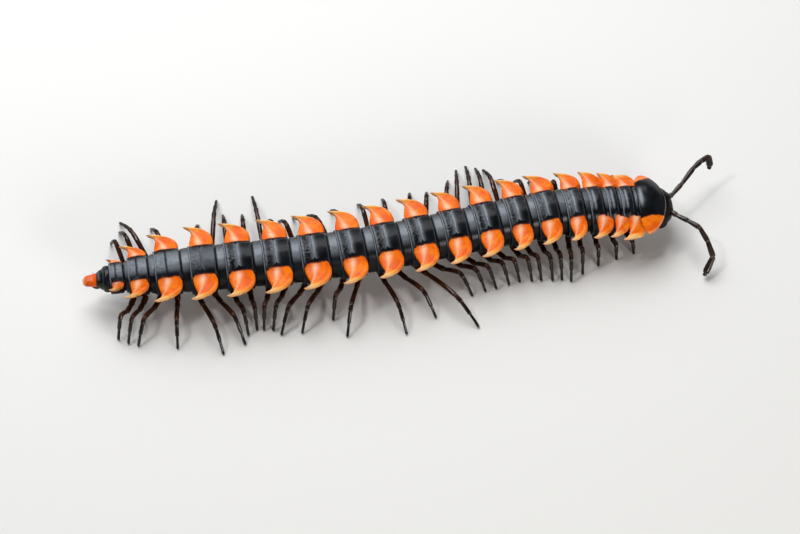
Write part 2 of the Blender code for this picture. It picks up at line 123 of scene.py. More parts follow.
FOLD_PLACE = (0.47, 0.46, 0.42, 0.36, 0.22, 0.02)
FOLD_WIDTH = 0.06
FOLD_RISE = 0.035
# A highlight painted in pale orange along the wing's fold: its width and strength by share of the way out
FOLD_HIGHLIGHT_SHARE = (-0.40, 0.00, 0.15, 0.40, 0.70, 1.00)
FOLD_HIGHLIGHT_WIDTH = (0.15, 0.16, 0.20, 0.13, 0.06, 0.04)
FOLD_HIGHLIGHT_STRENGTH = (0.0, 0.40, 0.85, 0.60, 0.45, 0.60)
PORE_RINGS = (5, 7, 9, 10, 12, 13, 15, 16, 17, 18, 19)
PORE_SHARE = 0.90
PORE_SIZE = 0.055
PORE_DEPTH = 0.03

BLACK_DEEP = (0.0022, 0.0025, 0.0032, 1)
BLACK_BLUE = (0.006, 0.0075, 0.011, 1)
# The grey of the highlights painted onto the black cuticle
PAINTED_SHEEN_GREY = (0.250, 0.275, 0.310, 1)
ORANGE_DEEP = (0.76, 0.105, 0.004, 1)
ORANGE_BRIGHT = (0.92, 0.205, 0.006, 1)
ORANGE_PALE = (0.99, 0.56, 0.13, 1)
# The pale orange of the highlights painted onto the orange
ORANGE_HIGHLIGHT = (0.96, 0.64, 0.42, 1)
ORANGE_EDGE = (0.14, 0.024, 0.012, 1)
EDGE_WANDER = 0.16
# How strongly glints are painted in grey onto the leathery pebbles
PEBBLE_LIGHT = 0.38
SPECK_DEPTH = 0.62
# Colours laid over the orange by mark: a paler callus and hook, the hook's paleness partly painted light;
# highlights painted at the tip, along the fold and where glint is marked; a deeper orange on undersides
WING_TINTS_AND_HIGHLIGHTS = (
    ("callus", 0.15, ORANGE_PALE),
    ("hook", 0.95, ORANGE_PALE),
    ("tip", 0.55, ORANGE_HIGHLIGHT),
    ("fold", 0.84, ORANGE_HIGHLIGHT),
    ("under", 0.40, ORANGE_DEEP),
    ("glint", 0.45, ORANGE_HIGHLIGHT),
)


def smooth_through(places, values, x):
    """A smooth curve through the named places and values, read at x."""
    places, values, x = (np.asarray(part, float) for part in (places, values, x))
    slopes = np.gradient(values, places)
    x = np.clip(x, places[0], places[-1])
    i = np.clip(np.searchsorted(places, x) - 1, 0, len(places) - 2)
    step = places[i + 1] - places[i]
    t = (x - places[i]) / step
    start = (2 * t**3 - 3 * t**2 + 1) * values[i] + (t**3 - 2 * t**2 + t) * step * slopes[i]
    return start + (3 * t**2 - 2 * t**3) * values[i + 1] + (t**3 - t**2) * step * slopes[i + 1]


def ease(value, low, high):
    """0 below low, 1 above high, and a soft step between them."""
    t = np.clip((value - low) / (high - low), 0, 1)
    return t * t * (3 - 2 * t)


def groove(distance, width):
    return np.exp(-((distance / width) ** 2))


def softly_larger(a, b, blend):
    return (a + b + np.sqrt((a - b) ** 2 + blend**2)) / 2


def ring_size(table, ring):
    return float(np.interp(ring, SIZE_RING, table))


def axis_point(x):
    """Side and height of the body axis at x."""
    return float(np.polyval(AXIS_COURSE, x)), AXIS_HEIGHT + float(np.interp(x, AXIS_X, AXIS_Z))


def frame_at(x):
    """The frame of a piece whose rear edge is at x: on the body axis, turned along it."""
    y, z = axis_point(x)
    turn = Matrix.Rotation(math.radians(np.interp(x, AXIS_X, AXIS_HEADING)), 4, "Z")
    return Matrix.Translation((x, y, z)) @ turn


def ring_rear_x(ring):
    return COLLUM_REAR_X - sum(RING_PITCH[: ring - FIRST_RING + 1])


def metatergite_length(ring):
    pitch = RING_PITCH[ring - FIRST_RING]
    return min(METATERGITE_SHARE * pitch, pitch - SHORTEST_PROZONITE)


def skin(rows, **marks):
    """A skin of four-sided faces through closed rows of points, with a value of each mark at each point."""
    rows = np.asarray(rows, float)
    count, across = rows.shape[:2]
    index = np.arange(count * across).reshape(count, across)
    beside = np.roll(index, -1, axis=1)
    quads = np.stack([index[:-1], beside[:-1], beside[1:], index[1:]], axis=-1).reshape(-1, 4)
    marks = {name: np.broadcast_to(value, (count, across)).ravel() for name, value in marks.items()}
    return {"points": rows.reshape(-1, 3), "faces": quads, "marks": marks, "finish": 0}


def carried_on(marks, shape, rows=1):
    """The marks of a skin of this shape, carried on to the rows added at both ends."""
    full = {name: np.broadcast_to(value, shape) for name, value in marks.items()}
    return {name: np.pad(value, ((rows, rows), (0, 0)), mode="edge") for name, value in full.items()}


def closed_skin(points, marks):
    """A skin through rows of points, drawn together to one point at each end."""
    ends = [points[i].mean(axis=0) + np.zeros_like(points[i]) for i in (0, -1)]
    rows = np.concatenate([[ends[0]], points, [ends[1]]])
    return skin(rows, **carried_on(marks, points.shape[:2]))


def lap_round(count):
    """Shares from a plate's front edge to its rear edge and back below, and 1 above or -1 below."""
    chord = (1 - np.cos(np.linspace(0, math.pi, count))) / 2
    return np.concatenate([chord, chord[-2:0:-1]]), np.repeat((1.0, -1.0), (count, count - 2))


def distance_to(x, y, line_x, line_y):
    """How far each place is from the nearest of a line of places, in plan."""
    return np.hypot(x[..., None] - line_x, y[..., None] - line_y).min(axis=-1)


def uneven(points, size, seed):
    """A gentle random height at each point, with hills about size across."""
    shift = Vector((seed * 7.3, seed * 3.1, seed * 5.7))
    flat = np.reshape(points, (-1, 3))
    heights = [noise.noise(Vector(point) / size + shift) for point in flat]
    return np.reshape(heights, np.shape(points)[:-1])


def add_object(name, data):
    """A new object with this data, in the scene."""
    thing = bpy.data.objects.new(name, data)
    bpy.context.scene.collection.objects.link(thing)
    return thing


def make_piece(name, parts, place, finishes, nodes):
    """Joins skins into one named piece in its place. It rides the body and stands for the named nodes."""
    mesh = bpy.data.meshes.new(name)
    starts = np.cumsum([0] + [len(part["points"]) for part in parts])
    faces = [face for part, start in zip(parts, starts) for face in (part["faces"] + start).tolist()]
    mesh.from_pydata(np.concatenate([part["points"] for part in parts]).tolist(), [], faces)
    for mark in sorted({mark for part in parts for mark in part["marks"]}):
        values = [part["marks"].get(mark, np.zeros(len(part["points"]))) for part in parts]
        mesh.attributes.new(mark, "FLOAT", "POINT").data.foreach_set("value", np.concatenate(values))
    finish_of = np.concatenate([np.full(len(part["faces"]), part["finish"], np.int32) for part in parts])
    mesh.polygons.foreach_set("material_index", finish_of)
    for finish in finishes:
        mesh.materials.append(finish)
    bm = bmesh.new()
    bm.from_mesh(mesh)
    bmesh.ops.remove_doubles(bm, verts=bm.verts, dist=0.0002)
    bmesh.ops.dissolve_degenerate(bm, edges=bm.edges, dist=0.0001)
    bmesh.ops.recalc_face_normals(bm, faces=bm.faces)
    bm.to_mesh(mesh)
    bm.free()
    mesh.transform(Matrix.Scale(MM, 4) @ place)
    mesh.shade_smooth()
    piece = add_object(name, mesh)
    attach(piece, "root")
    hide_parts(*nodes)


def ring_radii(ring):
    """Radius at the metatergite's front and rear, and of the rear edge of the ring ahead."""
    here, ahead = ring_size(RADIUS, ring), ring_size(RADIUS, ring - 1)
    behind = ring_size(RADIUS, min(ring + 1, LAST_RING))
    return here, (here + behind) / 2, (here + ahead) / 2


def barrel_rows(meta, pitch):
    """Places along the barrel where its outer skin bends, front to rear."""
    stretches = (
        (pitch + TUCK, meta + 0.20, 9),
        (meta + 0.18, meta - 0.06, 13),
        (meta - 0.09, SULCUS_SHARE * meta + 0.12, 8),
        (SULCUS_SHARE * meta + 0.10, SULCUS_SHARE * meta - 0.10, 13),
        (SULCUS_SHARE * meta - 0.12, 0.23, 12),
        (0.21, 0.02, 12),
    )
    return np.concatenate([np.linspace(*stretch) for stretch in stretches])


def strip(x, sheen):
    """A strip of painted highlight across the ring."""
    strength, place, width = sheen
    return strength * groove(x - place, width)


def barrel_skin(ring):
    """The ring's tube: collar, stricture, metatergite with its sulcus, rear lip and the hollow behind it."""
    pitch = RING_PITCH[ring - FIRST_RING]
    meta = metatergite_length(ring)
    front, rear, ahead = ring_radii(ring)
    turn = np.linspace(0, 2 * math.pi, AROUND, endpoint=False)
    up = np.cos(turn)
    dorsal = ease(up, 0.15, 0.45)
    x = barrel_rows(meta, pitch)[:, None]
    on_meta = ease(meta + 0.02 - x, 0.0, 0.07)
    neck_front, neck_rear = ahead - LIP_THICKNESS - 0.025, front - NECK_DROP
    neck = neck_front + (neck_rear - neck_front) * ease(pitch - x, 0.0, max(pitch - meta, 0.1))
    back = rear + (front - rear) * np.clip(x / meta, 0, 1)
    back = back + DORSAL_SWELL * np.sin(math.pi * np.clip(x / meta, 0, 1))
    radius = neck + (back - neck) * on_meta
    stricture = groove(x - meta - STRICTURE_BEHIND, 0.035)
    has_sulcus = float(meta > SULCUS_FROM_LENGTH)
    sulcus = groove(x - SULCUS_SHARE * meta, SULCUS_WIDTH) * has_sulcus
    radius = radius - STRICTURE_DEPTH * stricture + RIM_RISE * groove(x - 0.06, 0.035)
    radius = radius - 0.014 * groove(x - 0.15, 0.03)
    radius = radius - SULCUS_DEPTH * sulcus * dorsal
    radius = radius - MIDLINE_DEPTH * groove(np.sin(turn / 2), 0.016) * on_meta
    belly = -BELLY_DROP + 0.09 * (1 - on_meta)
    outer_y = radius * np.sin(turn)
    outer_z = softly_larger(radius * up, belly, BELLY_SOFTNESS)
    outer = np.stack([np.broadcast_to(x, outer_y.shape), outer_y, outer_z], axis=-1)
    leather = ease(x, 0.09, 0.16) * ease(SULCUS_SHARE * meta - x, 0.06, 0.14) * has_sulcus
    push = WRINKLE_HEIGHT * uneven(outer, 0.24, ring) * (0.15 + 0.85 * on_meta)
    push = push + LEATHER_HEIGHT * uneven(outer, 0.10, ring + 40) * (leather + 0.10 * on_meta)
    outer[..., 1] += push * np.sin(turn)
    outer[..., 2] += push * up
    edge = outer[-1]

    def inward(along, shrink):
        """The rear edge drawn in by a length all round."""
        row = edge.copy()
        row[:, 0] = along
        reach = np.hypot(edge[:, 1], edge[:, 2])
        row[:, 1:] *= ((reach - shrink) / reach)[:, None]
        return row

    middle = np.zeros_like(edge)
    start = middle + np.array((pitch + TUCK, 0, 0))
    end = middle + np.array((RECESS, 0, 0))
    rows = [start, 0.6 * (outer[0] - start) + start, 0.97 * (outer[0] - start) + start, *outer]
    rows += [inward(0.004, 0.010), inward(0.0, 0.03), inward(0.006, 0.05), inward(0.03, LIP_THICKNESS)]
    rows += [inward(RECESS, LIP_THICKNESS + 0.02), end]
    inside = np.zeros((len(rows), AROUND))
    inside[:3] = 1
    inside[-2:] = 1

    front_body = float(np.interp(ring, (4, 7), (1, 0)))
    tail_body = float(np.interp(ring, (15, 17), (0, 1)))
    on_furrowed = has_sulcus * (1 - tail_body)
    from_sulcus = x - SULCUS_SHARE * meta
    on_collar = (1 - on_meta) * ease(x - meta, 0.08, 0.14)
    top, high, crown = ease(up, 0.35, 0.98), ease(up, 0.66, 0.97), ease(up, 0.80, 0.97)
    front_strips = strip(x, FRONT_RING_SHEEN) + strip(x, FRONT_RING_WIDE_SHEEN)
    sulcus_band = strip(from_sulcus, SULCUS_SHEEN) + strip(from_sulcus, SULCUS_LIP_SHEEN)
    # Painted highlights: grey strips on the crown at the rims, the sulcus, the collar, the front rings and
    # the tail rings
    sheens = (
        0.25 * groove(x - meta + 0.045, 0.030) * top,
        strip(x, RIM_SHEEN) * (0.15 + 0.80 * top),
        sulcus_band * dorsal * on_furrowed,
        strip(x, REAR_SHEEN) * high * on_furrowed,
        COLLAR_SHEEN * on_collar * ease(up, 0.74, 0.99) * (1 - front_body),
        FRONT_COLLAR_SHEEN * on_collar * crown * front_body,
        front_strips * ease(up, 0.83, 0.95) * front_body,
        TAIL_SHEEN * on_meta * crown * tail_body * (1 - groove(from_sulcus, 0.06)),
    )
    glint = np.maximum.reduce(np.broadcast_arrays(*sheens))
    gloss = 0.30 + 0.65 * (1 - on_meta) * (0.35 + 0.65 * top) + 0.25 * leather + 0.35 * front_body * on_meta
    smooth_front = 0.85 * ease(from_sulcus, -0.05, 0.05) * has_sulcus
    calm = np.maximum(np.maximum(1 - on_meta, smooth_front), 0.75 * front_body)
    pad = ((3, len(rows) - 3 - len(outer)), (0, 0))
    marks = {
        # Shade is painted into the stricture and the hollow ends
        "furrow": np.maximum(np.pad(stricture + 0 * turn, pad), inside),
        "calm": np.pad(calm + 0 * turn, pad, mode="edge"),
        "glint": np.pad(glint, pad),
        "gloss": np.pad(np.maximum(gloss, glint), pad, mode="edge"),
        # Where glints are painted onto the leathery pebbles, on the ring's top only
        "leather": np.pad(leather * top * (0.30 + 0.70 * groove(from_sulcus, 0.25)), pad),
        "band": -1.0,
    }
    return skin(rows, **marks)


def wing_skin(ring, side):
    """A paranotum: a plate that leaves the back smoothly, thick along its outer edge, hooked behind."""
    meta = metatergite_length(ring)
    length = LONG_WINGS.get(ring, meta)
    wing_front = SHOULDER_WING_FRONT if ring == FIRST_RING else WING_FRONT
    front_radius, rear_radius = ring_radii(ring)[:2]
    half_span = ring_size(SPAN, ring) / 2
    radius = ring_size(RADIUS, ring)
    root_y = WING_ROOT * radius
    root_z = math.sqrt(radius**2 - root_y**2)
    rise = ring_size(TIP_HEIGHT, ring) - root_z
    out = 1 - (1 - np.linspace(0, 1, 34)) ** 1.8
    share = np.concatenate([np.linspace(-0.30, -0.05, 5), out])[:, None]
    lap, upper = lap_round(28)
    y = root_y + share * (half_span - root_y)
    wing_rear = FAR_LONG_WING_REAR if ring in LONG_WINGS and side > 0 else WING_REAR
    further = FAR_WING_AHEAD.get(ring, 0.0) * float(side > 0)

    def front_edge(share):
        pushed = further * (1 - ease(share, 0.6, 1.0))
        return length * smooth_through(WING_SHARE, wing_front, share) + pushed

    x_front = front_edge(share)
    x_rear = length * smooth_through(WING_SHARE, wing_rear, share)
    sweep = float(ring in LONG_WINGS) * (LONG_WING_SWEEP if side < 0 else -FAR_WING_SWEEP)
    sweep = sweep * (1 - ease(share, 0.2, 1.0))
    sweep = sweep - ring_size(HOOK_REACH, ring) * np.clip((share - 0.3) / 0.7, 0, 1) ** 1.5
    x = x_front + lap * (x_rear - x_front) + sweep
    thickness = smooth_through(WING_SHARE, WING_THICKNESS, share)
    thickness = np.minimum(thickness, 0.75 * (x_front - x_rear) + 0.004)
    roundness = np.clip(1 - np.abs(2 * lap - 1) ** 2.6, 0, 1) ** (1 / 2.6)
    barrel = rear_radius + (front_radius - rear_radius) * np.clip(x / meta, 0, 1) + DORSAL_SWELL
    arc = np.sqrt(np.clip(barrel**2 - y**2, 0, None))
    plate = root_z + share * rise - WING_DISH * np.sin(math.pi * np.clip(share, 0, 1))
    plate = plate + HOOK_RISE * np.clip(share, 0, 1) ** 5
    sheet = softly_larger(arc, plate, WING_FILLET) - 0.07 * (1 - ease(share, -0.30, -0.02))
    z = sheet - thickness / 2 * (1 - upper * roundness)
    tuck = LONG_WING_TUCK * ease(share, 0.05, 0.40) * float(ring in LONG_WINGS)
    z = z - tuck * ease(x, 0.45 * length, length)
    z = z - WING_ROOT_SINK * ease(x, meta - 0.10, meta + 0.08) * (1 - ease(share, 0.0, 0.22))

    outline_share = np.linspace(0.25, 1, 90)
    outline_x = front_edge(outline_share) + np.interp(outline_share, share[:, 0], sweep[:, 0])
    outline_y = root_y + outline_share * (half_span - root_y)
    flat_y = np.broadcast_to(y, x.shape)
    away = distance_to(x, flat_y, outline_x, outline_y)
    on_side = ease(share, 0.30, 0.55)
    ridge = groove(away - CALLUS_PLACE, CALLUS_WIDTH) - 0.6 * groove(away - 0.24, 0.06)
    z = z + upper * roundness * CALLUS_RISE * ridge * on_side * np.minimum(thickness / 0.3, 1)
    fold_x = length * smooth_through(FOLD_SHARE, FOLD_PLACE, share) + sweep
    fold = groove(x - fold_x, FOLD_WIDTH) * (upper > 0)
    # A highlight painted in pale orange along the fold
    fold_highlight = groove(x - fold_x, smooth_through(FOLD_HIGHLIGHT_SHARE, FOLD_HIGHLIGHT_WIDTH, share)) * (upper > 0)
    fold_highlight = fold_highlight * smooth_through(FOLD_HIGHLIGHT_SHARE, FOLD_HIGHLIGHT_STRENGTH, share)
    z = z + FOLD_RISE * fold * ease(share, 0.05, 0.35) * roundness
    points = np.stack([x, side * flat_y, z], axis=-1)
    points[..., 2] += 0.012 * uneven(points, 0.30, ring + 90) * roundness

    pore = np.zeros(x.shape)
    if ring in PORE_RINGS:
        pore_x = float(np.interp(PORE_SHARE, outline_share, outline_x))
        pore_y = root_y + PORE_SHARE * (half_span - root_y)
        half_thickness = float(smooth_through(WING_SHARE, WING_THICKNESS, PORE_SHARE)) / 2
        pore_z = root_z + PORE_SHARE * rise - half_thickness
        from_pore = np.hypot(np.hypot(x - pore_x, flat_y - pore_y), z - pore_z)
        pore = groove(from_pore, PORE_SIZE)
        points[..., 1] -= side * PORE_DEPTH * pore
    black_half = ring_size(BLACK_HALF, ring)
    # The tip and fold marks carry painted highlights, and the hook mark is partly painted light
    marks = {
        "band": flat_y - black_half,
        "callus": groove(away, 0.14) * on_side,
        "hook": ease(share, 0.72, 1.0),
        "tip": ease(share, 0.88, 1.0),
        # Shade is painted into the pore
        "furrow": pore,
        "fold": fold_highlight,
        "calm": 0.7,
        "gloss": 0.25,
        "under": 1.0 * (upper < 0),
    }
    return closed_skin(points, marks)


def put(value, socket):
    """Gives a socket its value, as a link where the value is another node's socket."""
    if isinstance(value, bpy.types.NodeSocket):
        socket.id_data.links.new(value, socket)
    else:
        socket.default_value = value


def add_node(tree, kind, inputs=(), **settings):
    """A shader node with its settings, and a value or a link for each named socket."""
    node = tree.nodes.new(kind)
    for name, value in settings.items():
        setattr(node, name, value)
    for name, value in dict(inputs).items():
        put(value, node.inputs[name])
    return node


def new_group(name, takes, gives):
    """An empty shader node group with named inputs and outputs, and the sockets of its two end nodes."""
    group = bpy.data.node_groups.new(name, "ShaderNodeTree")
    for title, kind, value in takes:
        group.interface.new_socket(title, in_out="INPUT", socket_type=kind).default_value = value
    for title, kind in gives:
        group.interface.new_socket(title, in_out="OUTPUT", socket_type=kind)
    return group, group.nodes.new("NodeGroupInput").outputs, group.nodes.new("NodeGroupOutput").inputs


def place_in_mm(tree):
    """The place on the surface in millimetres, as a vector."""
    where = add_node(tree, "ShaderNodeTexCoord").outputs["Object"]
    return add_node(tree, "ShaderNodeVectorMath", {0: where, 3: 1 / MM}, operation="SCALE").outputs[0]


def scaled(tree, value, by, plus=0.0, **settings):
    """A value times a number, plus another. Each is a socket or fixed."""
    inputs = {0: value, 1: by, 2: plus}
    return add_node(tree, "ShaderNodeMath", inputs, operation="MULTIPLY_ADD", **settings).outputs[0]


def mark_of(tree, name, share=1.0):
    """A mark that the mesh carries, times a share."""
    mark = add_node(tree, "ShaderNodeAttribute", attribute_name=name).outputs["Fac"]
    return mark if share == 1.0 else scaled(tree, mark, share)


def blended(tree, share, first, second, kind="RGBA"):
    """A Mix node between two colours or two numbers, sockets or fixed ones."""
    node = add_node(tree, "ShaderNodeMix", data_type=kind)
    sockets = [socket for socket in node.inputs if socket.enabled]
    for value, socket in zip((share, first, second), sockets):
        put(value, socket)
    return [socket for socket in node.outputs if socket.enabled][0]


def ramp(tree, value, low, high):
    """0 to 1 as the value goes from low to high."""
    inputs = {"Value": value, "From Min": low, "From Max": high}
    return add_node(tree, "ShaderNodeMapRange", inputs, interpolation_type="SMOOTHSTEP").outputs[0]


def mottle(tree, place, scale, detail):
    """Soft random patches, 0 to 1."""
    inputs = {"Vector": place, "Scale": scale, "Detail": detail}
    return add_node(tree, "ShaderNodeTexNoise", inputs).outputs["Fac"]


def make_leathery_grain():
    """Cuticle relief: pebbly grains on top of soft wrinkles that run across the body."""
    takes = [("Grain per mm", "NodeSocketFloat", 16.0), ("Wrinkles per mm", "NodeSocketFloat", 4.0)]
    takes += [("Wrinkle share", "NodeSocketFloat", 0.5)]
    gives = [("Height", "NodeSocketFloat"), ("Patches", "NodeSocketFloat")]
    group, given, result = new_group("leathery_grain", takes, gives)
    place = place_in_mm(group)
    grain_place = {"Vector": place, "Scale": given["Grain per mm"]}
    pebbles = add_node(group, "ShaderNodeTexVoronoi", grain_place, feature="SMOOTH_F1").outputs["Distance"]
    stretched = add_node(group, "ShaderNodeMapping", {"Scale": (1.0, 0.45, 0.45), "Vector": place})
    wrinkles = mottle(group, stretched.outputs[0], given["Wrinkles per mm"], 5.0)
    put(blended(group, given["Wrinkle share"], pebbles, wrinkles, "FLOAT"), result["Height"])
    put(ramp(group, mottle(group, place, 1.3, 3.0), 0.35, 0.65), result["Patches"])
    return group


def make_orange_band():
    """Black turns to orange across a soft, slightly wandering edge, through a thin red-brown line."""
    takes = [("Distance out", "NodeSocketFloat", 0.0), ("Blur", "NodeSocketFloat", 0.05)]
    takes += [("Black", "NodeSocketColor", BLACK_DEEP), ("Orange", "NodeSocketColor", ORANGE_BRIGHT)]
    takes += [("Between", "NodeSocketColor", ORANGE_EDGE)]
    group, given, result = new_group("orange_band", takes, [("Colour", "NodeSocketColor")])
    wander = scaled(group, mottle(group, place_in_mm(group), 3.0, 4.0), EDGE_WANDER, -EDGE_WANDER / 2)
    distance = scaled(group, wander, 1.0, given["Distance out"])
    blur = given["Blur"]
    edge = {"Value": distance, "From Min": scaled(group, blur, -1.0), "From Max": blur}
    mask = add_node(group, "ShaderNodeMapRange", edge).outputs[0]
    first = blended(group, ramp(group, mask, 0.0, 0.55), given["Black"], given["Between"])
    put(blended(group, ramp(group, mask, 0.40, 1.0), first, given["Orange"]), result["Colour"])
    return group


leathery_grain = make_leathery_grain()
orange_band = make_orange_band()


def use_group(tree, group, inputs):
    return add_node(tree, "ShaderNodeGroup", inputs, node_tree=group).outputs


def new_finish(name):
    """A material with an empty Principled BSDF, and its node tree and shader."""
    finish = bpy.data.materials.new(name)
    finish.use_nodes = True
    return finish, finish.node_tree, finish.node_tree.nodes["Principled BSDF"]


def set_sockets(shader, **values):
    for name, value in values.items():
        put(value, shader.inputs[name.replace("_", " ")])


def bump(tree, height, depth):
    """A bump of the given depth in millimetres."""
    return add_node(tree, "ShaderNodeBump", {"Distance": depth * MM, "Height": height}).outputs["Normal"]


def fading_coat(tree, most, fall):
    """Clear gloss that fades towards grazing angles."""
    facing = add_node(tree, "ShaderNodeLayerWeight", {"Blend": 0.4}).outputs["Facing"]
    return scaled(tree, facing, -fall, most, use_clamp=True)


def make_banded_cuticle(name, blur, grain_depth, orange_base=ORANGE_BRIGHT):
    """Satin black cuticle with highlights painted in grey onto the black and pale orange onto the orange,
    glossy where marked, shade painted into creases, and orange where the band mark says so.
    """
    finish, tree, shader = new_finish(name)
    grain = use_group(tree, leathery_grain, {"Grain per mm": 4.8, "Wrinkles per mm": 3.2})
    pebbles = use_group(tree, leathery_grain, {"Grain per mm": 8.0, "Wrinkles per mm": 9.0})["Height"]
    black = blended(tree, grain["Patches"], BLACK_DEEP, BLACK_BLUE)
    # Painted highlights: the black turns grey where the glint mark lies
    painted_sheen = scaled(tree, mark_of(tree, "glint"), scaled(tree, grain["Height"], 0.7, 0.5))
    black = blended(tree, painted_sheen, black, PAINTED_SHEEN_GREY)
    # Painted highlights: glints painted in grey on the pebbles where the leather mark lies
    lit_pebbles = scaled(tree, ramp(tree, pebbles, 0.46, 0.66), mark_of(tree, "leather", PEBBLE_LIGHT))
    black = blended(tree, lit_pebbles, black, PAINTED_SHEEN_GREY)
    orange = blended(tree, grain["Patches"], orange_base, ORANGE_DEEP)
    specks = scaled(tree, ramp(tree, pebbles, 0.44, 0.60), SPECK_DEPTH)
    orange = blended(tree, specks, orange, ORANGE_DEEP)
    # Tints and painted highlights laid over the orange, by mark
    for mark, share, tint in WING_TINTS_AND_HIGHLIGHTS:
        orange = blended(tree, mark_of(tree, mark, share), orange, tint)
    inputs = {"Distance out": mark_of(tree, "band"), "Blur": blur, "Black": black, "Orange": orange}
    colour = use_group(tree, orange_band, {**inputs, "Between": ORANGE_EDGE})["Colour"]
    gloss = mark_of(tree, "gloss")
    relief = scaled(tree, grain["Height"], scaled(tree, mark_of(tree, "calm"), -0.88, 1.0))
    set_sockets(
        shader,
        # Painted shade: the colour turns black in creases and hollows
        Base_Color=blended(tree, mark_of(tree, "furrow", 0.7), colour, BLACK_DEEP),
        Roughness=scaled(tree, gloss, -0.18, scaled(tree, grain["Patches"], 0.03, 0.38)),
        Coat_Weight=scaled(tree, gloss, fading_coat(tree, 0.55, 0.50)),
        Coat_Roughness=0.24,
        Specular_IOR_Level=0.07,
        Normal=bump(tree, relief, grain_depth),
    )
    return finish


ring_cuticle = make_banded_cuticle("ring_cuticle", 0.06, 0.08)

for ring in range(FIRST_RING, LAST_RING + 1):
    name = f"ring_{ring:02d}"
    ring_parts = [barrel_skin(ring), wing_skin(ring, 1), wing_skin(ring, -1)]
    ring_frame = frame_at(ring_rear_x(ring))
    make_piece(name + "_cuticle", ring_parts, ring_frame, [ring_cuticle], [name])

# Collum. The neck shield, a smooth glossy arched plate that covers the back of the head: black on top,
# with an orange flap on each side and a fine raised rim along its front edge. It overlaps ring 2.
COLLUM_HALF_WIDTH = 2.12
COLLUM_DEPTH = 1.79
COLLUM_OUTLINE_POWER = 1.85
COLLUM_ARCH = 1.9
COLLUM_AHEAD = (0.00, 0.45, 0.90, 1.28, 1.62, 1.79)
COLLUM_TOP = (1.42, 1.43, 1.34, 1.16, 0.92, 0.82)
COLLUM_SIDE = (0.48, 0.50, 0.56, 0.62, 0.74, 0.80)
COLLUM_THICKNESS = 0.20
COLLUM_CORNER = 0.42
COLLUM_CORNER_POWER = 5
COLLUM_BLACK_HALF = 1.30
COLLUM_BAND_SLANTS = (0.42, -0.14)
COLLUM_RIM = 0.022


def bowed(share):
    """The collum's outline: share of its reach ahead, by share of its half width, or the other way."""
    return np.clip(1 - np.abs(share) ** COLLUM_OUTLINE_POWER, 0, 1) ** (1 / COLLUM_OUTLINE_POWER)


def collum_skin():
    share = np.sin(np.linspace(-math.pi / 2, math.pi / 2, 72))[:, None]
    lap, upper = lap_round(34)
    y = share * COLLUM_HALF_WIDTH
    bulge = COLLUM_DEPTH - COLLUM_CORNER
    x_front = COLLUM_CORNER + bulge * bowed(share)
    x_rear = COLLUM_CORNER * np.abs(share) ** COLLUM_CORNER_POWER
    x = x_front + lap * (x_rear - x_front)
    half_width = COLLUM_HALF_WIDTH * bowed(np.clip((x - COLLUM_CORNER) / bulge, 0, 1))
    reach = np.clip(np.abs(y) / np.maximum(half_width, 0.02), 0, 1)
    top = smooth_through(COLLUM_AHEAD, COLLUM_TOP, x)
    side = smooth_through(COLLUM_AHEAD, COLLUM_SIDE, x)
    sheet = top - (top - side) * reach**COLLUM_ARCH
    outline_turn = np.linspace(0, math.pi, 160)
    outline_y = COLLUM_HALF_WIDTH * np.cos(outline_turn)
    outline_x = COLLUM_CORNER + bulge * bowed(np.cos(outline_turn))
    flat_y = np.broadcast_to(y, x.shape)
    away = distance_to(x, flat_y, outline_x, outline_y)
    roundness = np.clip(1 - np.abs(2 * lap - 1) ** 6, 0, 1) ** 0.5
    thickness = COLLUM_THICKNESS * (1 - 0.35 * share**2)
    z = sheet - thickness / 2 * (1 - upper * roundness)
    rims = groove(away - 0.05, 0.04) - 0.5 * groove(away - 0.13, 0.03) + 0.5 * groove(x - 0.06, 0.04)
    z = z + (upper > 0) * COLLUM_RIM * rims
    points = np.stack([x, flat_y, z], axis=-1)
    points[..., 2] += 0.006 * uneven(points, 0.35, 3)
    # Painted highlights: a crescent on the crown near the rear edge and a thin line along the rim
    crescent_highlight = groove(x - x_rear - 0.24, 0.09) * ease(0.85 - np.abs(y - 0.08), 0.0, 0.45)
    marks = {
        "band": np.abs(flat_y) - COLLUM_BLACK_HALF - x * np.where(flat_y > 0, *COLLUM_BAND_SLANTS),
        "callus": groove(away, 0.07),
        "calm": 0.85,
        "gloss": 0.95,
        "glint": 0.60 * groove(away - 0.03, 0.022) + 0.85 * crescent_highlight,
        "under": 1.0 * (upper < 0),
    }
    return closed_skin(points, marks)


collum_cuticle = make_banded_cuticle("collum_cuticle", 0.05, 0.005)
collum_frame = frame_at(COLLUM_REAR_X)
make_piece("collum_shield", [collum_skin()], collum_frame, [collum_cuticle], ["collum"])

# Head. A rounded black capsule held low under the collum, with a seam down the brow, swollen cheeks,
# the bases of the jaws below them, a toothed upper lip and a ringed socket for each antenna. No eyes.
HEAD_LENGTH = 2.32
HEAD_CENTRE_Z = 1.65
HEAD_TO_LEFT = 0.34
HEAD_VOXEL = 0.035
HEAD_MIDDLE_LOBES = (
    ((2.10, 2.72, 1.84), (0.11, 0.00, 0.10)),
    ((1.06, 1.80, 1.34), (0.66, 0.00, -0.20)),
    ((0.54, 1.10, 0.54), (0.77, 0.00, -0.70)),
    ((0.96, 0.90, 0.40), (0.08, 0.00, -0.80)),
)
HEAD_SIDE_LOBES = (
    ((0.92, 0.66, 0.88), (0.24, 1.00, -0.18)),
    ((0.82, 0.50, 0.66), (0.24, 0.80, -0.62)),
)
SOCKET_PLACE = (0.96, 0.54, 0.34)
SOCKET_SIZE = 0.15
LIP_TOOTH_Y = (-0.09, 0.0, 0.09)
HAIR_THICKNESS = 0.0055
HAIR_FINISH = 1


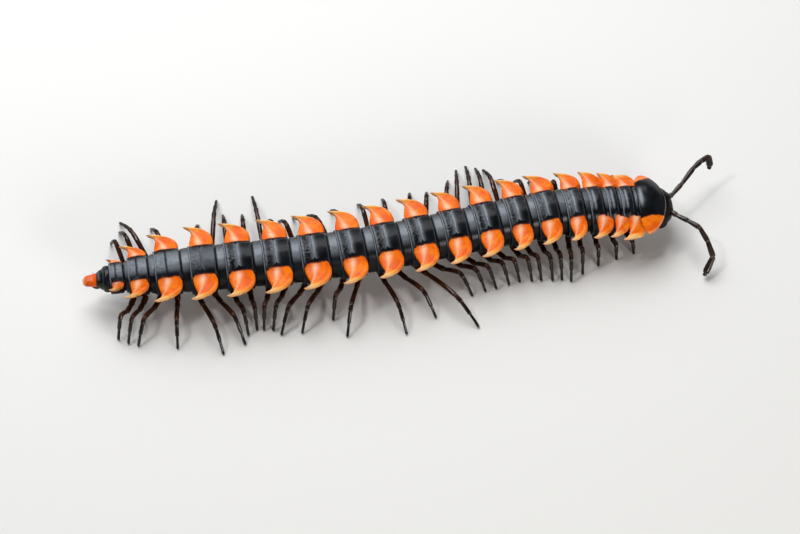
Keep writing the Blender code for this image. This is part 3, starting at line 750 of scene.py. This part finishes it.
def lobed_skin(lobes):
    """One smooth closed skin round overlapping balls, and its normals."""
    bm = bmesh.new()
    for size, place in lobes:
        grown = bmesh.ops.create_uvsphere(bm, u_segments=32, v_segments=20, radius=0.5)["verts"]
        bmesh.ops.scale(bm, vec=size, verts=grown)
        bmesh.ops.translate(bm, vec=place, verts=grown)
    mesh = bpy.data.meshes.new("lobes")
    bm.to_mesh(mesh)
    bm.free()
    obj = add_object("lobes", mesh)
    remesh = obj.modifiers.new("one_skin", "REMESH")
    remesh.mode = "VOXEL"
    remesh.voxel_size = HEAD_VOXEL
    smooth = obj.modifiers.new("fillets", "SMOOTH")
    smooth.factor = 0.6
    smooth.iterations = 8
    done = bpy.data.meshes.new_from_object(obj.evaluated_get(bpy.context.evaluated_depsgraph_get()))
    points = np.array([vert.co for vert in done.vertices])
    normals = np.array([tuple(normal.vector) for normal in done.vertex_normals])
    faces = np.array([tuple(face.vertices) for face in done.polygons])
    bpy.data.objects.remove(obj)
    return {"points": points, "faces": faces, "marks": {}, "finish": 0}, normals


def unit(ways):
    """Directions brought to a length of 1."""
    ways = np.asarray(ways, float)
    return ways / np.maximum(np.linalg.norm(ways, axis=-1, keepdims=True), 1e-9)


def square_to(ways):
    """Two directions square to each way and to each other."""
    upright = abs(np.mean(ways[..., 2])) >= 0.8
    first = unit(np.cross(ways, (1.0, 0.0, 0.0) if upright else (0.0, 0.0, 1.0)))
    return first, np.cross(first, ways)


def tube_skin(path, radii, sides, way=None, **marks):
    """A round closed limb along a path; its end rows have no radius."""
    path = np.asarray(path, float)
    way = unit(np.gradient(path, axis=0) if way is None else np.broadcast_to(way, path.shape))
    first, second = square_to(way)
    turn = np.linspace(0, 2 * math.pi, sides, endpoint=False)[None, :, None]
    circles = np.cos(turn) * first[:, None] + np.sin(turn) * second[:, None]
    rows = path[:, None] + np.asarray(radii, float)[:, None, None] * circles
    marks = {name: np.broadcast_to(value, len(path))[:, None] for name, value in marks.items()}
    return skin(rows, **marks)


def bristle_skin(roots, ways, lengths):
    """Fine stiff hairs, each a slender three-sided spike, as one skin in the piece's second finish."""
    ways = unit(ways)
    side = unit(np.cross(ways, (0.31, 0.52, 0.79)))
    other = np.cross(ways, side)
    sunk = roots - 0.02 * ways
    spokes = [math.cos(turn) * side + math.sin(turn) * other for turn in (0.0, 2.1, 4.2)]
    corners = [sunk + HAIR_THICKNESS * spoke for spoke in spokes]
    tips = roots + lengths[:, None] * ways
    points = np.stack([*corners, tips], axis=1).reshape(-1, 3)
    start = 4 * np.arange(len(roots))[:, None]
    faces = np.concatenate([start + face for face in ((0, 1, 3), (1, 2, 3), (2, 0, 3), (0, 2, 1))])
    return {"points": points, "faces": faces, "marks": {}, "finish": HAIR_FINISH}


def head_skin():
    sides = [(size, (x, side * y, z)) for size, (x, y, z) in HEAD_SIDE_LOBES for side in (1, -1)]
    part, normals = lobed_skin([*HEAD_MIDDLE_LOBES, *sides])
    x, y, z = part["points"].T
    seam = groove(y, 0.022) * ease(z, 0.10, 0.30) * ease(x, -0.4, -0.1)
    lip_line = groove(z + 0.47 + 0.10 * np.abs(y), 0.022) * ease(x, 0.55, 0.7)
    lip_line = lip_line * ease(0.5 - np.abs(y), 0, 0.1)
    cheek_line = groove(z + 0.42 - 0.1 * x, 0.024) * ease(np.abs(y), 0.48, 0.60)
    notch = groove(y, 0.16) * ease(-0.80 - z, 0.0, 0.08)
    socket_x, socket_y, socket_z = SOCKET_PLACE
    from_socket = np.sqrt((x - socket_x) ** 2 + (np.abs(y) - socket_y) ** 2 + (z - socket_z) ** 2)
    pit = 1 - ease(from_socket, 0.8 * SOCKET_SIZE, 1.15 * SOCKET_SIZE)
    rim = groove(from_socket - 1.35 * SOCKET_SIZE, 0.035)
    # Shade is painted into the brow seam, the lip and cheek lines and the antenna sockets
    furrow = np.maximum.reduce([seam, lip_line, cheek_line, pit])
    push = -0.022 * seam - 0.022 * lip_line - 0.03 * cheek_line - 0.07 * pit + 0.035 * rim - 0.05 * notch
    push = push + 0.006 * uneven(part["points"], 0.25, 11)
    part["points"] = part["points"] + push[:, None] * normals
    part["marks"] = {"furrow": furrow, "lip": ease(-0.55 - z, 0.0, 0.25) * ease(x, 0.4, 0.7)}
    return part, normals


def hairs_over(points, normals, allowed, count, length, lean, seed):
    """Hairs at random places of a skin where allowed, leaning along lean."""
    draw = np.random.default_rng(seed)
    chosen = draw.choice(np.flatnonzero(allowed), size=count, replace=False)
    ways = normals[chosen] + np.array(lean) + draw.normal(0, 0.15, (count, 3))
    return bristle_skin(points[chosen], ways, length * draw.uniform(0.7, 1.2, count))


def make_dark_gloss(name, deep, light, mark, mark_colour, rough, coat):
    """Glossy dark cuticle, faintly mottled, in another colour where the mark says so, with shade painted
    into creases.
    """
    finish, tree, shader = new_finish(name)
    grain = use_group(tree, leathery_grain, {"Grain per mm": 18.0, "Wrinkles per mm": 7.0})
    colour = blended(tree, grain["Patches"], deep, light)
    colour = blended(tree, mark_of(tree, mark), colour, mark_colour)
    set_sockets(
        shader,
        # Painted shade: the colour turns black in creases
        Base_Color=blended(tree, mark_of(tree, "furrow", 0.7), colour, BLACK_DEEP),
        Roughness=scaled(tree, grain["Height"], 0.12, rough),
        Coat_Weight=fading_coat(tree, coat, 1.6 * coat),
        Coat_Roughness=0.10,
        Specular_IOR_Level=0.03,
        Normal=bump(tree, grain["Height"], 0.006),
    )
    return finish


def make_bristle_horn():
    """Clear brown horn of the hairs, a little varied from place to place."""
    finish, tree, shader = new_finish("bristle_horn")
    patches = mottle(tree, place_in_mm(tree), 6.0, 2.0)
    set_sockets(shader, Base_Color=blended(tree, patches, HAIR_DARK, HAIR_BROWN), Roughness=0.35)
    return finish


HEAD_BLACK = (0.006, 0.005, 0.005, 1)
HEAD_BROWN = (0.016, 0.009, 0.007, 1)
LIP_BROWN = (0.12, 0.045, 0.018, 1)
HAIR_DARK = (0.020, 0.010, 0.006, 1)
HAIR_BROWN = (0.06, 0.030, 0.016, 1)
head_cuticle = make_dark_gloss("head_cuticle", HEAD_BLACK, HEAD_BROWN, "lip", LIP_BROWN, 0.22, 0.50)
bristle_horn = make_bristle_horn()

head_frame = frame_at(COLLUM_REAR_X + HEAD_LENGTH / 2) @ Matrix.Translation((0, HEAD_TO_LEFT, 0))
head_frame.translation.z = HEAD_CENTRE_Z
head_part, head_normals = head_skin()
head_points = head_part["points"]
on_face = (head_points[:, 0] > 0.70) & (head_points[:, 2] < -0.05)
on_lip = (head_points[:, 0] > 0.50) & (head_points[:, 2] < -0.70)
head_parts = [head_part]
head_parts.append(hairs_over(head_points, head_normals, on_face, 70, 0.14, (0.1, 0, -0.6), 5))
head_parts.append(hairs_over(head_points, head_normals, on_lip, 60, 0.12, (0.2, 0, -1.2), 6))
for tooth_y in LIP_TOOTH_Y:
    tooth_path = [(0.78, tooth_y, z) for z in (-0.80, -0.84, -0.90, -0.945, -0.95)]
    tooth_radii = (0, 0.035, 0.03, 0.012, 0)
    head_parts.append(tube_skin(tooth_path, tooth_radii, 8, (0, 0, -1), lip=1.0))
head_finishes = [head_cuticle, bristle_horn]
make_piece("head_capsule", head_parts, head_frame, head_finishes, ["head"])

# Antennae. Seven hard dark-brown tubes end to end, each slimmer at its base, hinged by soft skin and
# covered in short down. The sixth is the thickest; the tiny seventh carries four sense cones.
ANTENNA_JOINTS = {
    "left": (
        (0.98, 0.48, 2.02), (1.19, 0.56, 2.05), (1.87, 1.20, 2.14), (2.76, 2.16, 2.35),
        (3.25, 2.53, 2.46), (3.82, 2.85, 2.38), (3.89, 2.66, 1.72), (3.84, 2.57, 1.50),
    ),
    "right": (
        (0.98, -0.58, 1.95), (1.25, -0.88, 1.95), (1.91, -1.42, 2.00), (2.51, -1.97, 2.00),
        (2.91, -2.74, 1.58), (3.14, -3.60, 1.10), (2.60, -4.29, 0.44), (2.54, -4.36, 0.31),
    ),
}
ANTENNA_GIRTH = (0.170, 0.155, 0.165, 0.170, 0.185, 0.215, 0.140)
SEGMENT_ALONG = (0.0, 0.0, 0.04, 0.12, 0.28, 0.48, 0.68, 0.82, 0.91, 0.97, 1.0, 1.0)
SEGMENT_GIRTH = (0.0, 0.66, 0.78, 0.82, 0.87, 0.93, 1.0, 1.0, 0.96, 0.86, 0.70, 0.0)
ANTENNA_HAIRS = (4, 10, 10, 12, 20, 36, 8)
ANTENNA_HAIR_LENGTH = 0.075
SEGMENT_LAP = 0.03


def segment_line(start, end, bend, along):
    """Places along a limb segment that bows through the bend point, if it has one."""
    along = np.asarray(along, float)[:, None]
    bow = np.zeros(3) if bend is None else bend - (start + end) / 2
    return start + along * (end - start) + 4 * along * (1 - along) * bow


def segment_skin(start, end, girth, bend=None, shape=SEGMENT_GIRTH, **marks):
    """One hard segment of a limb, slimmer at its base and rounded at its end, lapping the one before."""
    lap = SEGMENT_LAP * unit(end - start)
    path = segment_line(start - lap, end + 0.4 * lap, bend, SEGMENT_ALONG)
    steps = np.gradient(path, axis=0)
    steps[0], steps[-1] = steps[1], steps[-2]
    return tube_skin(path, girth * np.array(shape), 14, steps, **marks)


def segment_hairs(start, end, girth, count, length, draw, bend=None, below=0.0):
    """Hairs all round a segment, leaning to its tip; below sends more of them to its underside."""
    way = unit(end - start)
    along = draw.uniform(0.08, 0.97, count)
    first, second = square_to(way)
    turn = draw.uniform(0, 2 * math.pi, count)
    out = np.cos(turn)[:, None] * first + np.sin(turn)[:, None] * second
    out[:, 2] -= below
    out = unit(out)
    radius = girth * np.interp(along, SEGMENT_ALONG[1:-1], SEGMENT_GIRTH[1:-1])
    roots = segment_line(start, end, bend, along) + radius[:, None] * out
    return bristle_skin(roots, out + 0.9 * way, length * draw.uniform(0.7, 1.25, count))


ANTENNA_BLACK = (0.010, 0.007, 0.006, 1)
ANTENNA_BROWN = (0.040, 0.022, 0.015, 1)
ANTENNA_JOINT = (0.11, 0.07, 0.045, 1)
antenna_colours = (ANTENNA_BLACK, ANTENNA_BROWN, "joint", ANTENNA_JOINT)
antenna_cuticle = make_dark_gloss("antenna_cuticle", *antenna_colours, 0.22, 0.9)
ground_frame = head_frame.copy()
ground_frame.translation.z = 0

for seed, (side_name, joints) in enumerate(ANTENNA_JOINTS.items()):
    node = f"antenna_{side_name}"
    draw = np.random.default_rng(seed + 20)
    joints = np.array(joints)
    along = np.array(SEGMENT_ALONG)
    soft_joint = 0.7 * (along < 0.05) + 0.4 * (along > 0.95)
    parts = []
    for i, (start, end) in enumerate(zip(joints, joints[1:])):
        parts.append(segment_skin(start, end, ANTENNA_GIRTH[i], joint=soft_joint))
        hairs = (start, end, ANTENNA_GIRTH[i], ANTENNA_HAIRS[i], ANTENNA_HAIR_LENGTH, draw)
        parts.append(segment_hairs(*hairs))
    way = unit(joints[-1] - joints[-2])
    across = unit(np.cross(way, (1, 0, 0)))
    for turn in range(4):
        angle = math.pi / 4 + turn * math.pi / 2
        out = math.cos(angle) * across + math.sin(angle) * np.cross(way, across)
        cone_path = joints[-1] + 0.045 * out + np.outer((-0.02, 0.0, 0.04, 0.075, 0.08), way)
        parts.append(tube_skin(cone_path, (0, 0.022, 0.017, 0.008, 0), 8, way, joint=1.0))
    finishes = [antenna_cuticle, bristle_horn]
    make_piece(node + "_segments", parts, ground_frame, finishes, [node])

# Telson. The last ring: a black cone that slides out of ring 19 and ends in the flat, blunt orange-red
# epiproct. Two swollen valves close the gut's end under it, over the small three-sided hypoproct.
TELSON_BEHIND = (-0.50, 0.00, 0.15, 0.32, 0.49, 0.62, 1.00, 1.22, 1.31)
TELSON_HALF_WIDTH = (0.76, 0.78, 0.66, 0.55, 0.46, 0.43, 0.36, 0.29, 0.19)
TELSON_HALF_HEIGHT = (0.76, 0.77, 0.66, 0.53, 0.40, 0.32, 0.27, 0.21, 0.12)
TELSON_LIFT = (0.00, 0.00, 0.00, 0.02, 0.02, 0.02, 0.00, -0.02, -0.03)
TELSON_GAP = 0.3
EPIPROCT_FROM = 0.50
VALVE_SIZE = (0.78, 0.38, 0.92)
VALVE_PLACE = (-0.47, 0.16, -0.20)
HYPOPROCT_SIZE = (0.36, 0.48, 0.16)
HYPOPROCT_PLACE = (-0.36, 0.0, -0.60)
SPINNERET_PLACES = ((0.05, 0.05), (-0.05, 0.05), (0.05, -0.04), (-0.05, -0.04))


def telson_section(behind):
    """Half width, half height and lift of the telson at a distance behind its frame."""
    tables = (TELSON_HALF_WIDTH, TELSON_HALF_HEIGHT, TELSON_LIFT)
    return [smooth_through(TELSON_BEHIND, table, behind) for table in tables]


def cone_skin():
    behind = np.concatenate([np.linspace(-0.50, 0.40, 24), np.linspace(0.42, 1.31, 34)])[:, None]
    turn = np.linspace(0, 2 * math.pi, 56, endpoint=False)
    rim = 0.020 * groove(behind - 0.06, 0.04) - 0.018 * groove(behind - 0.16, 0.03)
    fold = -0.02 * groove(behind - EPIPROCT_FROM, 0.03)
    crown = ease(np.cos(turn), 0.70, 0.97)
    half_width, half_height, lift = telson_section(behind)
    y = (half_width + rim + fold) * np.sin(turn)
    z = lift + (half_height + rim + fold) * np.cos(turn)
    points = np.stack([np.broadcast_to(-behind, y.shape), y, z], axis=-1)
    points[..., 1:] *= 1 + 0.012 * uneven(points, 0.22, 31)[..., None]
    marks = {
        "band": behind - EPIPROCT_FROM,
        # Shade is painted into the groove behind the rim
        "furrow": groove(behind - 0.16, 0.03),
        "gloss": 0.8,
        # Painted highlights on the cone's crown, near the epiproct and at the rim
        "glint": (0.55 * groove(behind - 0.36, 0.07) + 0.25 * groove(behind - 0.06, 0.03)) * crown,
        "hook": 0.5 * ease(behind, 1.08, 1.31),
    }

    def drawn_in(row, share, back):
        """An end row of the cone, narrowed and pushed back."""
        return row.mean(axis=0) + share * (row - row.mean(axis=0)) - np.array((back, 0, 0))

    front, rear = points[0], points[-1]
    closing = [drawn_in(rear, 0.6, 0.020), drawn_in(rear, 0.0, 0.025)]
    rows = np.array([drawn_in(front, 0.0, 0.0), drawn_in(front, 0.6, 0.0), *points, *closing])
    return skin(rows, **carried_on(marks, y.shape, 2))


def ball_skin(size, place, **marks):
    down = np.linspace(0, math.pi, 22)[:, None]
    turn = np.linspace(0, 2 * math.pi, 32, endpoint=False)[None, :]
    out = np.sin(down)
    ball = np.stack([np.cos(down) + 0 * turn, out * np.cos(turn), out * np.sin(turn)], axis=-1)
    return skin(np.array(place) + 0.5 * np.array(size) * ball, **marks)


def telson_hairs():
    """Long hairs on the epiproct and the valves."""
    draw = np.random.default_rng(77)
    count = 34
    behind = draw.uniform(0.15, 1.27, count)
    turn = draw.uniform(0, 2 * math.pi, count)
    half_width, half_height, lift = telson_section(behind)
    roots = np.stack([-behind, half_width * np.sin(turn), lift + half_height * np.cos(turn)], axis=1)
    ways = np.stack([-1.2 + 0 * turn, np.sin(turn), np.cos(turn)], axis=1)
    return bristle_skin(roots, ways, draw.uniform(0.14, 0.26, count))


EPIPROCT_RED = (0.66, 0.085, 0.010, 1)
telson_cuticle = make_banded_cuticle("telson_cuticle", 0.05, 0.008, EPIPROCT_RED)
telson_parts = [cone_skin(), ball_skin(HYPOPROCT_SIZE, HYPOPROCT_PLACE, band=-1.0), telson_hairs()]
for side in (1, -1):
    valve_x, valve_y, valve_z = VALVE_PLACE
    telson_parts.append(ball_skin(VALVE_SIZE, (valve_x, side * valve_y, valve_z), band=-1.0))
for spinneret_y, spinneret_z in SPINNERET_PLACES:
    spinneret = [(-1.31 - out, spinneret_y, spinneret_z - 0.03) for out in (0.0, 0.0, 0.03, 0.06)]
    telson_parts.append(tube_skin(spinneret, (0, 0.02, 0.015, 0), 6, (-1, 0, 0), band=1.0, hook=1.0))
telson_frame = frame_at(ring_rear_x(LAST_RING) - TELSON_GAP)
telson_finishes = [telson_cuticle, bristle_horn]
make_piece("telson_cone", telson_parts, telson_frame, telson_finishes, ["telson"])

# Sterna and legs. The narrow belly plate of each ring carries one pair of legs on rings 2 to 4 and two
# pairs on rings 5 to 18. A leg is six hard tubes and a claw, amber at its root and nearly black below.
LEG_RINGS = range(2, 19)
ONE_PAIR_RINGS = (2, 3, 4)
LEG_PLACE_ONE = (0.48,)
LEG_PLACE_TWO = (0.18, 0.80)
LEG_CLEARANCE = 0.35
LEG_ROOT_Y = 0.52
LEG_ROOT_Z = 0.54
COXA_REACH = 0.50
COXA_END_Z = 0.50
PREFEMUR_REACH = 1.16
PREFEMUR_END_Z = 0.72
KNEE_SHARE = 0.55
KNEE_HEIGHT = 2.20
KNEE_SINK = 0.16
KNEE_STEEP = 0.66
SHORT_REACH = 2.40
LEG_BELOW_KNEE = ((0.24, 0.90), (0.62, 0.52))
FOOT_RISE = 0.09
LEG_GIRTH = (0.190, 0.168, 0.152, 0.140, 0.122, 0.088)
LEG_SEGMENT_GIRTH = (0.0, 0.82, 0.90, 0.92, 0.95, 0.98, 1.0, 1.0, 0.98, 0.92, 0.80, 0.0)
LEG_HAIRS = (4, 7, 8, 7, 7, 8)
LEG_HAIR_LENGTH = (0.15, 0.16, 0.15, 0.12, 0.09, 0.06)
LEG_BOW = (0.0, 0.02, 0.05, 0.0, 0.01, 0.03)
CLAW_CURL = ((0.0, -0.02), (0.0, 0.0), (0.018, 0.035), (0.030, 0.065), (0.030, 0.085), (0.026, 0.0895))
CLAW_GIRTH = (0, 0.026, 0.022, 0.014, 0.005, 0)
LEG_ENDS = ((0.05, (0.110, 0.028, 0.008, 1)), (1.00, (0.005, 0.0035, 0.003, 1)))
LEG_BETWEEN = (
    (0.30, (0.062, 0.017, 0.006, 1)),
    (0.55, (0.021, 0.008, 0.005, 1)),
    (0.75, (0.009, 0.005, 0.004, 1)),
)
LEG_JOINT = (0.16, 0.060, 0.022, 1)

# Where the feet stand on each side: place along the body, how far the foot is ahead of the leg's root,
# and how far out it reaches
FEET = {
    "left": (
        (-16.5, -1.05, 3.7), (-15.8, -1.00, 4.4), (-14.8, -2.10, 5.4), (-13.8, -1.30, 4.6),
        (-12.6, 0.60, 4.4), (-11.6, 0.95, 6.2), (-10.4, 0.05, 5.1), (-9.4, 0.20, 4.9),
        (-8.1, -0.25, 6.3), (-7.1, -0.50, 4.4), (-5.8, -1.00, 4.3), (-3.5, -1.35, 4.5),
        (-1.4, -0.25, 4.7), (0.8, 1.00, 4.8), (1.8, 1.05, 4.6), (2.9, 1.40, 5.1),
        (3.9, 1.15, 5.8), (4.9, 0.75, 5.9), (5.9, 0.35, 5.6), (6.9, -0.25, 5.4),
        (7.7, -0.45, 4.4), (9.5, -0.40, 3.9), (12.2, 0.10, 2.6), (14.1, 0.35, 2.1),
    ),
    "right": (
        (-16.5, -1.20, 3.0), (-15.8, -1.25, 3.4), (-14.8, -1.95, 3.6), (-13.8, -0.55, 4.1),
        (-12.6, 1.15, 4.9), (-11.6, 1.60, 4.4), (-10.4, 0.65, 3.7), (-9.4, 0.20, 3.4),
        (-8.1, -0.70, 3.4), (-7.1, -1.15, 3.5), (-5.8, -2.10, 3.8), (-4.8, -1.90, 3.9),
        (-3.5, -1.20, 3.2), (-2.5, -1.60, 4.6), (-1.4, 0.70, 5.1), (-0.4, 1.70, 4.3),
        (0.8, 2.85, 5.6), (1.8, 2.00, 3.3), (5.8, 1.00, 3.1), (8.7, 0.10, 3.4),
        (10.5, -0.50, 3.6), (12.2, -0.20, 2.7), (14.1, 0.30, 2.0),
    ),
}
STERNUM_LENGTH_SHARE = 0.96
STERNUM_HALF_WIDTH = (0.86, 0.74, 0.60, 0.54, 0.48, 0.36)
STERNUM_DOWN = (0.00, 0.25, 0.50, 0.75, 0.92, 1.00)
STERNUM_BOTTOM = 0.44
STERNUM_SQUARENESS = 0.55
CROSS_DEPTH = 0.06


def leg_joints(root, foot):
    """Joints from the coxa's root to the end of the tarsus, in the upright plane from root to foot."""
    root, foot = np.array(root, float), np.array(foot, float)
    way = foot - root
    length = np.linalg.norm(way)
    way = unit(way)
    short = min(1.0, length / SHORT_REACH)
    knee_z = min(KNEE_HEIGHT - KNEE_SINK * length, KNEE_STEEP * length)
    thigh = PREFEMUR_REACH * short
    knee = thigh + KNEE_SHARE * (length - thigh)
    outline = [(0.0, LEG_ROOT_Z), (COXA_REACH * short, COXA_END_Z)]
    outline += [(thigh, PREFEMUR_END_Z), (knee, knee_z)]
    outline += [(knee + out * (length - knee), knee_z * height) for out, height in LEG_BELOW_KNEE]
    outline += [(length - 0.02, FOOT_RISE)]
    return [np.array((*(root + way * along), z)) for along, z in outline], way


def leg_parts(root, foot, draw):
    """One leg: its segments, claw and hairs."""
    joints, way = leg_joints(root, foot)
    parts = []
    along = np.array(SEGMENT_ALONG)
    soft_joint = 1.0 * (along < 0.05) + 0.5 * (along > 0.96)
    for i, (start, end) in enumerate(zip(joints, joints[1:])):
        bend = (start + end) / 2 + np.array((0, 0, LEG_BOW[i] * np.linalg.norm(end - start)))
        girth = LEG_GIRTH[i] * draw.uniform(0.96, 1.04)
        marks = {"outward": (i + along) / len(LEG_GIRTH), "joint": soft_joint}
        parts.append(segment_skin(start, end, girth, bend, LEG_SEGMENT_GIRTH, **marks))
        parts.append(segment_hairs(start, end, girth, LEG_HAIRS[i], LEG_HAIR_LENGTH[i], draw, bend, 0.5))
    ahead, down = np.array((*way, 0.0)), np.array((0.0, 0.0, -1.0))
    claw = [joints[-1] + out * ahead + drop * down for out, drop in CLAW_CURL]
    parts.append(tube_skin(claw, CLAW_GIRTH, 8, outward=1.0, joint=0.0))
    return parts


def sternum_skin(ring):
    """The belly plate of a ring, pressed in along a cross between the legs."""
    rear_x = ring_rear_x(ring)
    meta = metatergite_length(ring)
    belly = axis_point(rear_x)[1] - BELLY_DROP + 0.10
    down = np.linspace(0, 1, 18)
    inward = np.linspace(1, 0, 10)[1:]
    half_width = smooth_through(STERNUM_DOWN, STERNUM_HALF_WIDTH, down)
    half_width = np.concatenate([half_width, STERNUM_HALF_WIDTH[-1] * inward])
    half_length = STERNUM_LENGTH_SHARE * meta / 2 * np.concatenate([1 - 0.14 * down**3, 0.86 * inward])
    height = belly - (belly - STERNUM_BOTTOM) * np.concatenate([down, np.ones(9)])
    turn = np.linspace(0, 2 * math.pi, 56, endpoint=False)[None, :]
    ways = [np.sign(way) * np.abs(way) ** STERNUM_SQUARENESS for way in (np.cos(turn), np.sin(turn))]
    x = meta / 2 + half_length[:, None] * ways[0]
    y = half_width[:, None] * ways[1]
    low = np.concatenate([ease(down, 0.6, 0.95), np.ones(9)])[:, None]
    two_pairs = ring not in ONE_PAIR_RINGS
    cross = np.maximum(groove(x - meta / 2, 0.07) * two_pairs, groove(y, 0.06))
    z = height[:, None] + CROSS_DEPTH * cross * low
    pinch = 0.10 * groove(x - meta / 2, 0.12) * two_pairs
    points = np.stack([x, y * (1 - pinch), z], axis=-1)
    points[..., 2] += 0.01 * uneven(points, 0.2, ring + 60)
    top = points[0].mean(axis=0) + np.zeros_like(points[0])
    # Shade is painted into the cross
    marks = {"furrow": np.pad(0.8 * cross * low, ((1, 0), (0, 0))), "joint": 0.0}
    return skin(np.concatenate([[top], points]), **marks)


def make_leg_cuticle():
    """Amber horn that darkens outward to nearly black, paler at the joints, with a wet gloss."""
    finish, tree, shader = new_finish("leg_cuticle")
    grain = use_group(tree, leathery_grain, {"Grain per mm": 20.0, "Wrinkles per mm": 9.0})
    wander = scaled(tree, grain["Patches"], 0.16, -0.08)
    outward = scaled(tree, wander, 1.0, mark_of(tree, "outward"))
    colours = add_node(tree, "ShaderNodeValToRGB", {"Fac": outward})
    stops = colours.color_ramp.elements
    (stops[0].position, stops[0].color), (stops[1].position, stops[1].color) = LEG_ENDS
    for position, tint in LEG_BETWEEN:
        stops.new(position).color = tint
    set_sockets(
        shader,
        Base_Color=blended(tree, mark_of(tree, "joint", 0.30), colours.outputs[0], LEG_JOINT),
        Roughness=scaled(tree, grain["Height"], 0.14, 0.16),
        Coat_Weight=fading_coat(tree, 0.95, 1.7),
        Coat_Roughness=0.07,
        Specular_IOR_Level=0.03,
        Normal=bump(tree, grain["Height"], 0.005),
    )
    return finish


STERNUM_BLACK = (0.010, 0.008, 0.008, 1)
STERNUM_BROWN = (0.035, 0.018, 0.012, 1)
sternum_colours = (STERNUM_BLACK, STERNUM_BROWN, "joint", STERNUM_BROWN)
sternum_cuticle = make_dark_gloss("sternum_cuticle", *sternum_colours, 0.28, 0.3)
leg_cuticle = make_leg_cuticle()

for ring in LEG_RINGS:
    rear_x = ring_rear_x(ring)
    pitch = RING_PITCH[ring - FIRST_RING]
    belly_frame = frame_at(rear_x)
    belly_frame.translation.z = 0
    leg_nodes = [f"legs_{ring:02d}_{side_name}" for side_name in FEET]
    name = f"sternum_{ring:02d}"
    make_piece(name, [sternum_skin(ring)], belly_frame, [sternum_cuticle], leg_nodes)
    leg_span = min(METATERGITE_SHARE * pitch, pitch - LEG_CLEARANCE)
    for side, side_name, node in zip((1, -1), FEET, leg_nodes):
        foot_x, ahead, out = np.array(FEET[side_name]).T
        draw = np.random.default_rng(ring * 10 + side)
        parts = []
        for leg_place in LEG_PLACE_ONE if ring in ONE_PAIR_RINGS else LEG_PLACE_TWO:
            root_x = leg_place * leg_span
            step, reach = (float(np.interp(rear_x + root_x, foot_x, way)) for way in (ahead, out))
            parts += leg_parts((root_x, side * LEG_ROOT_Y), (root_x + step, side * reach), draw)
        make_piece(node + "_segments", parts, belly_frame, [leg_cuticle, bristle_horn], [node])

# Studio. A plain pale floor under the feet, soft lights overhead and to the front, and the camera at the
# photo's angle. None of it is part of the animal.
floor_mesh = bpy.data.meshes.new("studio_floor")
bm = bmesh.new()
bmesh.ops.create_grid(bm, x_segments=1, y_segments=1, size=0.6)
bm.to_mesh(floor_mesh)
bm.free()
floor_finish = new_finish("studio_floor_paper")[0]
floor_shader = floor_finish.node_tree.nodes["Principled BSDF"]
set_sockets(floor_shader, Base_Color=(0.78, 0.76, 0.73, 1), Roughness=0.9, Specular_IOR_Level=0.1)
floor_mesh.materials.append(floor_finish)
floor = add_object("studio_floor", floor_mesh)


def add_softbox(name, place, size, power, colour):
    """A flat light that faces the middle of the animal; its place and size are in millimetres."""
    data = bpy.data.lights.new(name, "AREA")
    data.shape = "RECTANGLE"
    data.size, data.size_y = (length * MM for length in size)
    data.energy = power
    data.color = colour
    light = add_object(name, data)
    light.location = Vector(place) * MM
    light.rotation_euler = Vector(place).to_track_quat("Z", "Y").to_euler()


COOL_WHITE = (0.94, 0.97, 1.0)
WARM_WHITE = (1.0, 0.97, 0.93)
add_softbox("back_softbox", (-15, 75, 130), (115, 105), 0.226, COOL_WHITE)
add_softbox("far_softbox", (-20, 130, 75), (220, 60), 0.072, COOL_WHITE)
add_softbox("front_softbox", (60, -130, 50), (70, 40), 0.10, WARM_WHITE)
add_softbox("small_light", (-70, 10, 130), (14, 14), 0.03, (1.0, 1.0, 1.0))

world = bpy.data.worlds.new("studio_air")
world.use_nodes = True
set_sockets(world.node_tree.nodes["Background"], Color=(0.86, 0.90, 0.96, 1), Strength=0.12)
bpy.context.scene.world = world
bpy.context.scene.view_settings.view_transform = "Standard"

CAMERA_AIM = (-0.217, -1.627, 2.2)
CAMERA_DISTANCE = 240.0
CAMERA_TURN = math.radians(-9.5)
CAMERA_TILT = math.radians(58.0)
camera_data = bpy.data.cameras.new("camera")
camera_data.sensor_width = 36.0
camera_data.lens = 178.0
camera_data.clip_start = 0.01
camera = add_object("camera", camera_data)
level = math.cos(CAMERA_TILT)
back = Vector((math.sin(CAMERA_TURN) * level, -math.cos(CAMERA_TURN) * level, math.sin(CAMERA_TILT)))
camera.location = (Vector(CAMERA_AIM) + CAMERA_DISTANCE * back) * MM
camera.rotation_euler = back.to_track_quat("Z", "Y").to_euler()
bpy.context.scene.camera = camera
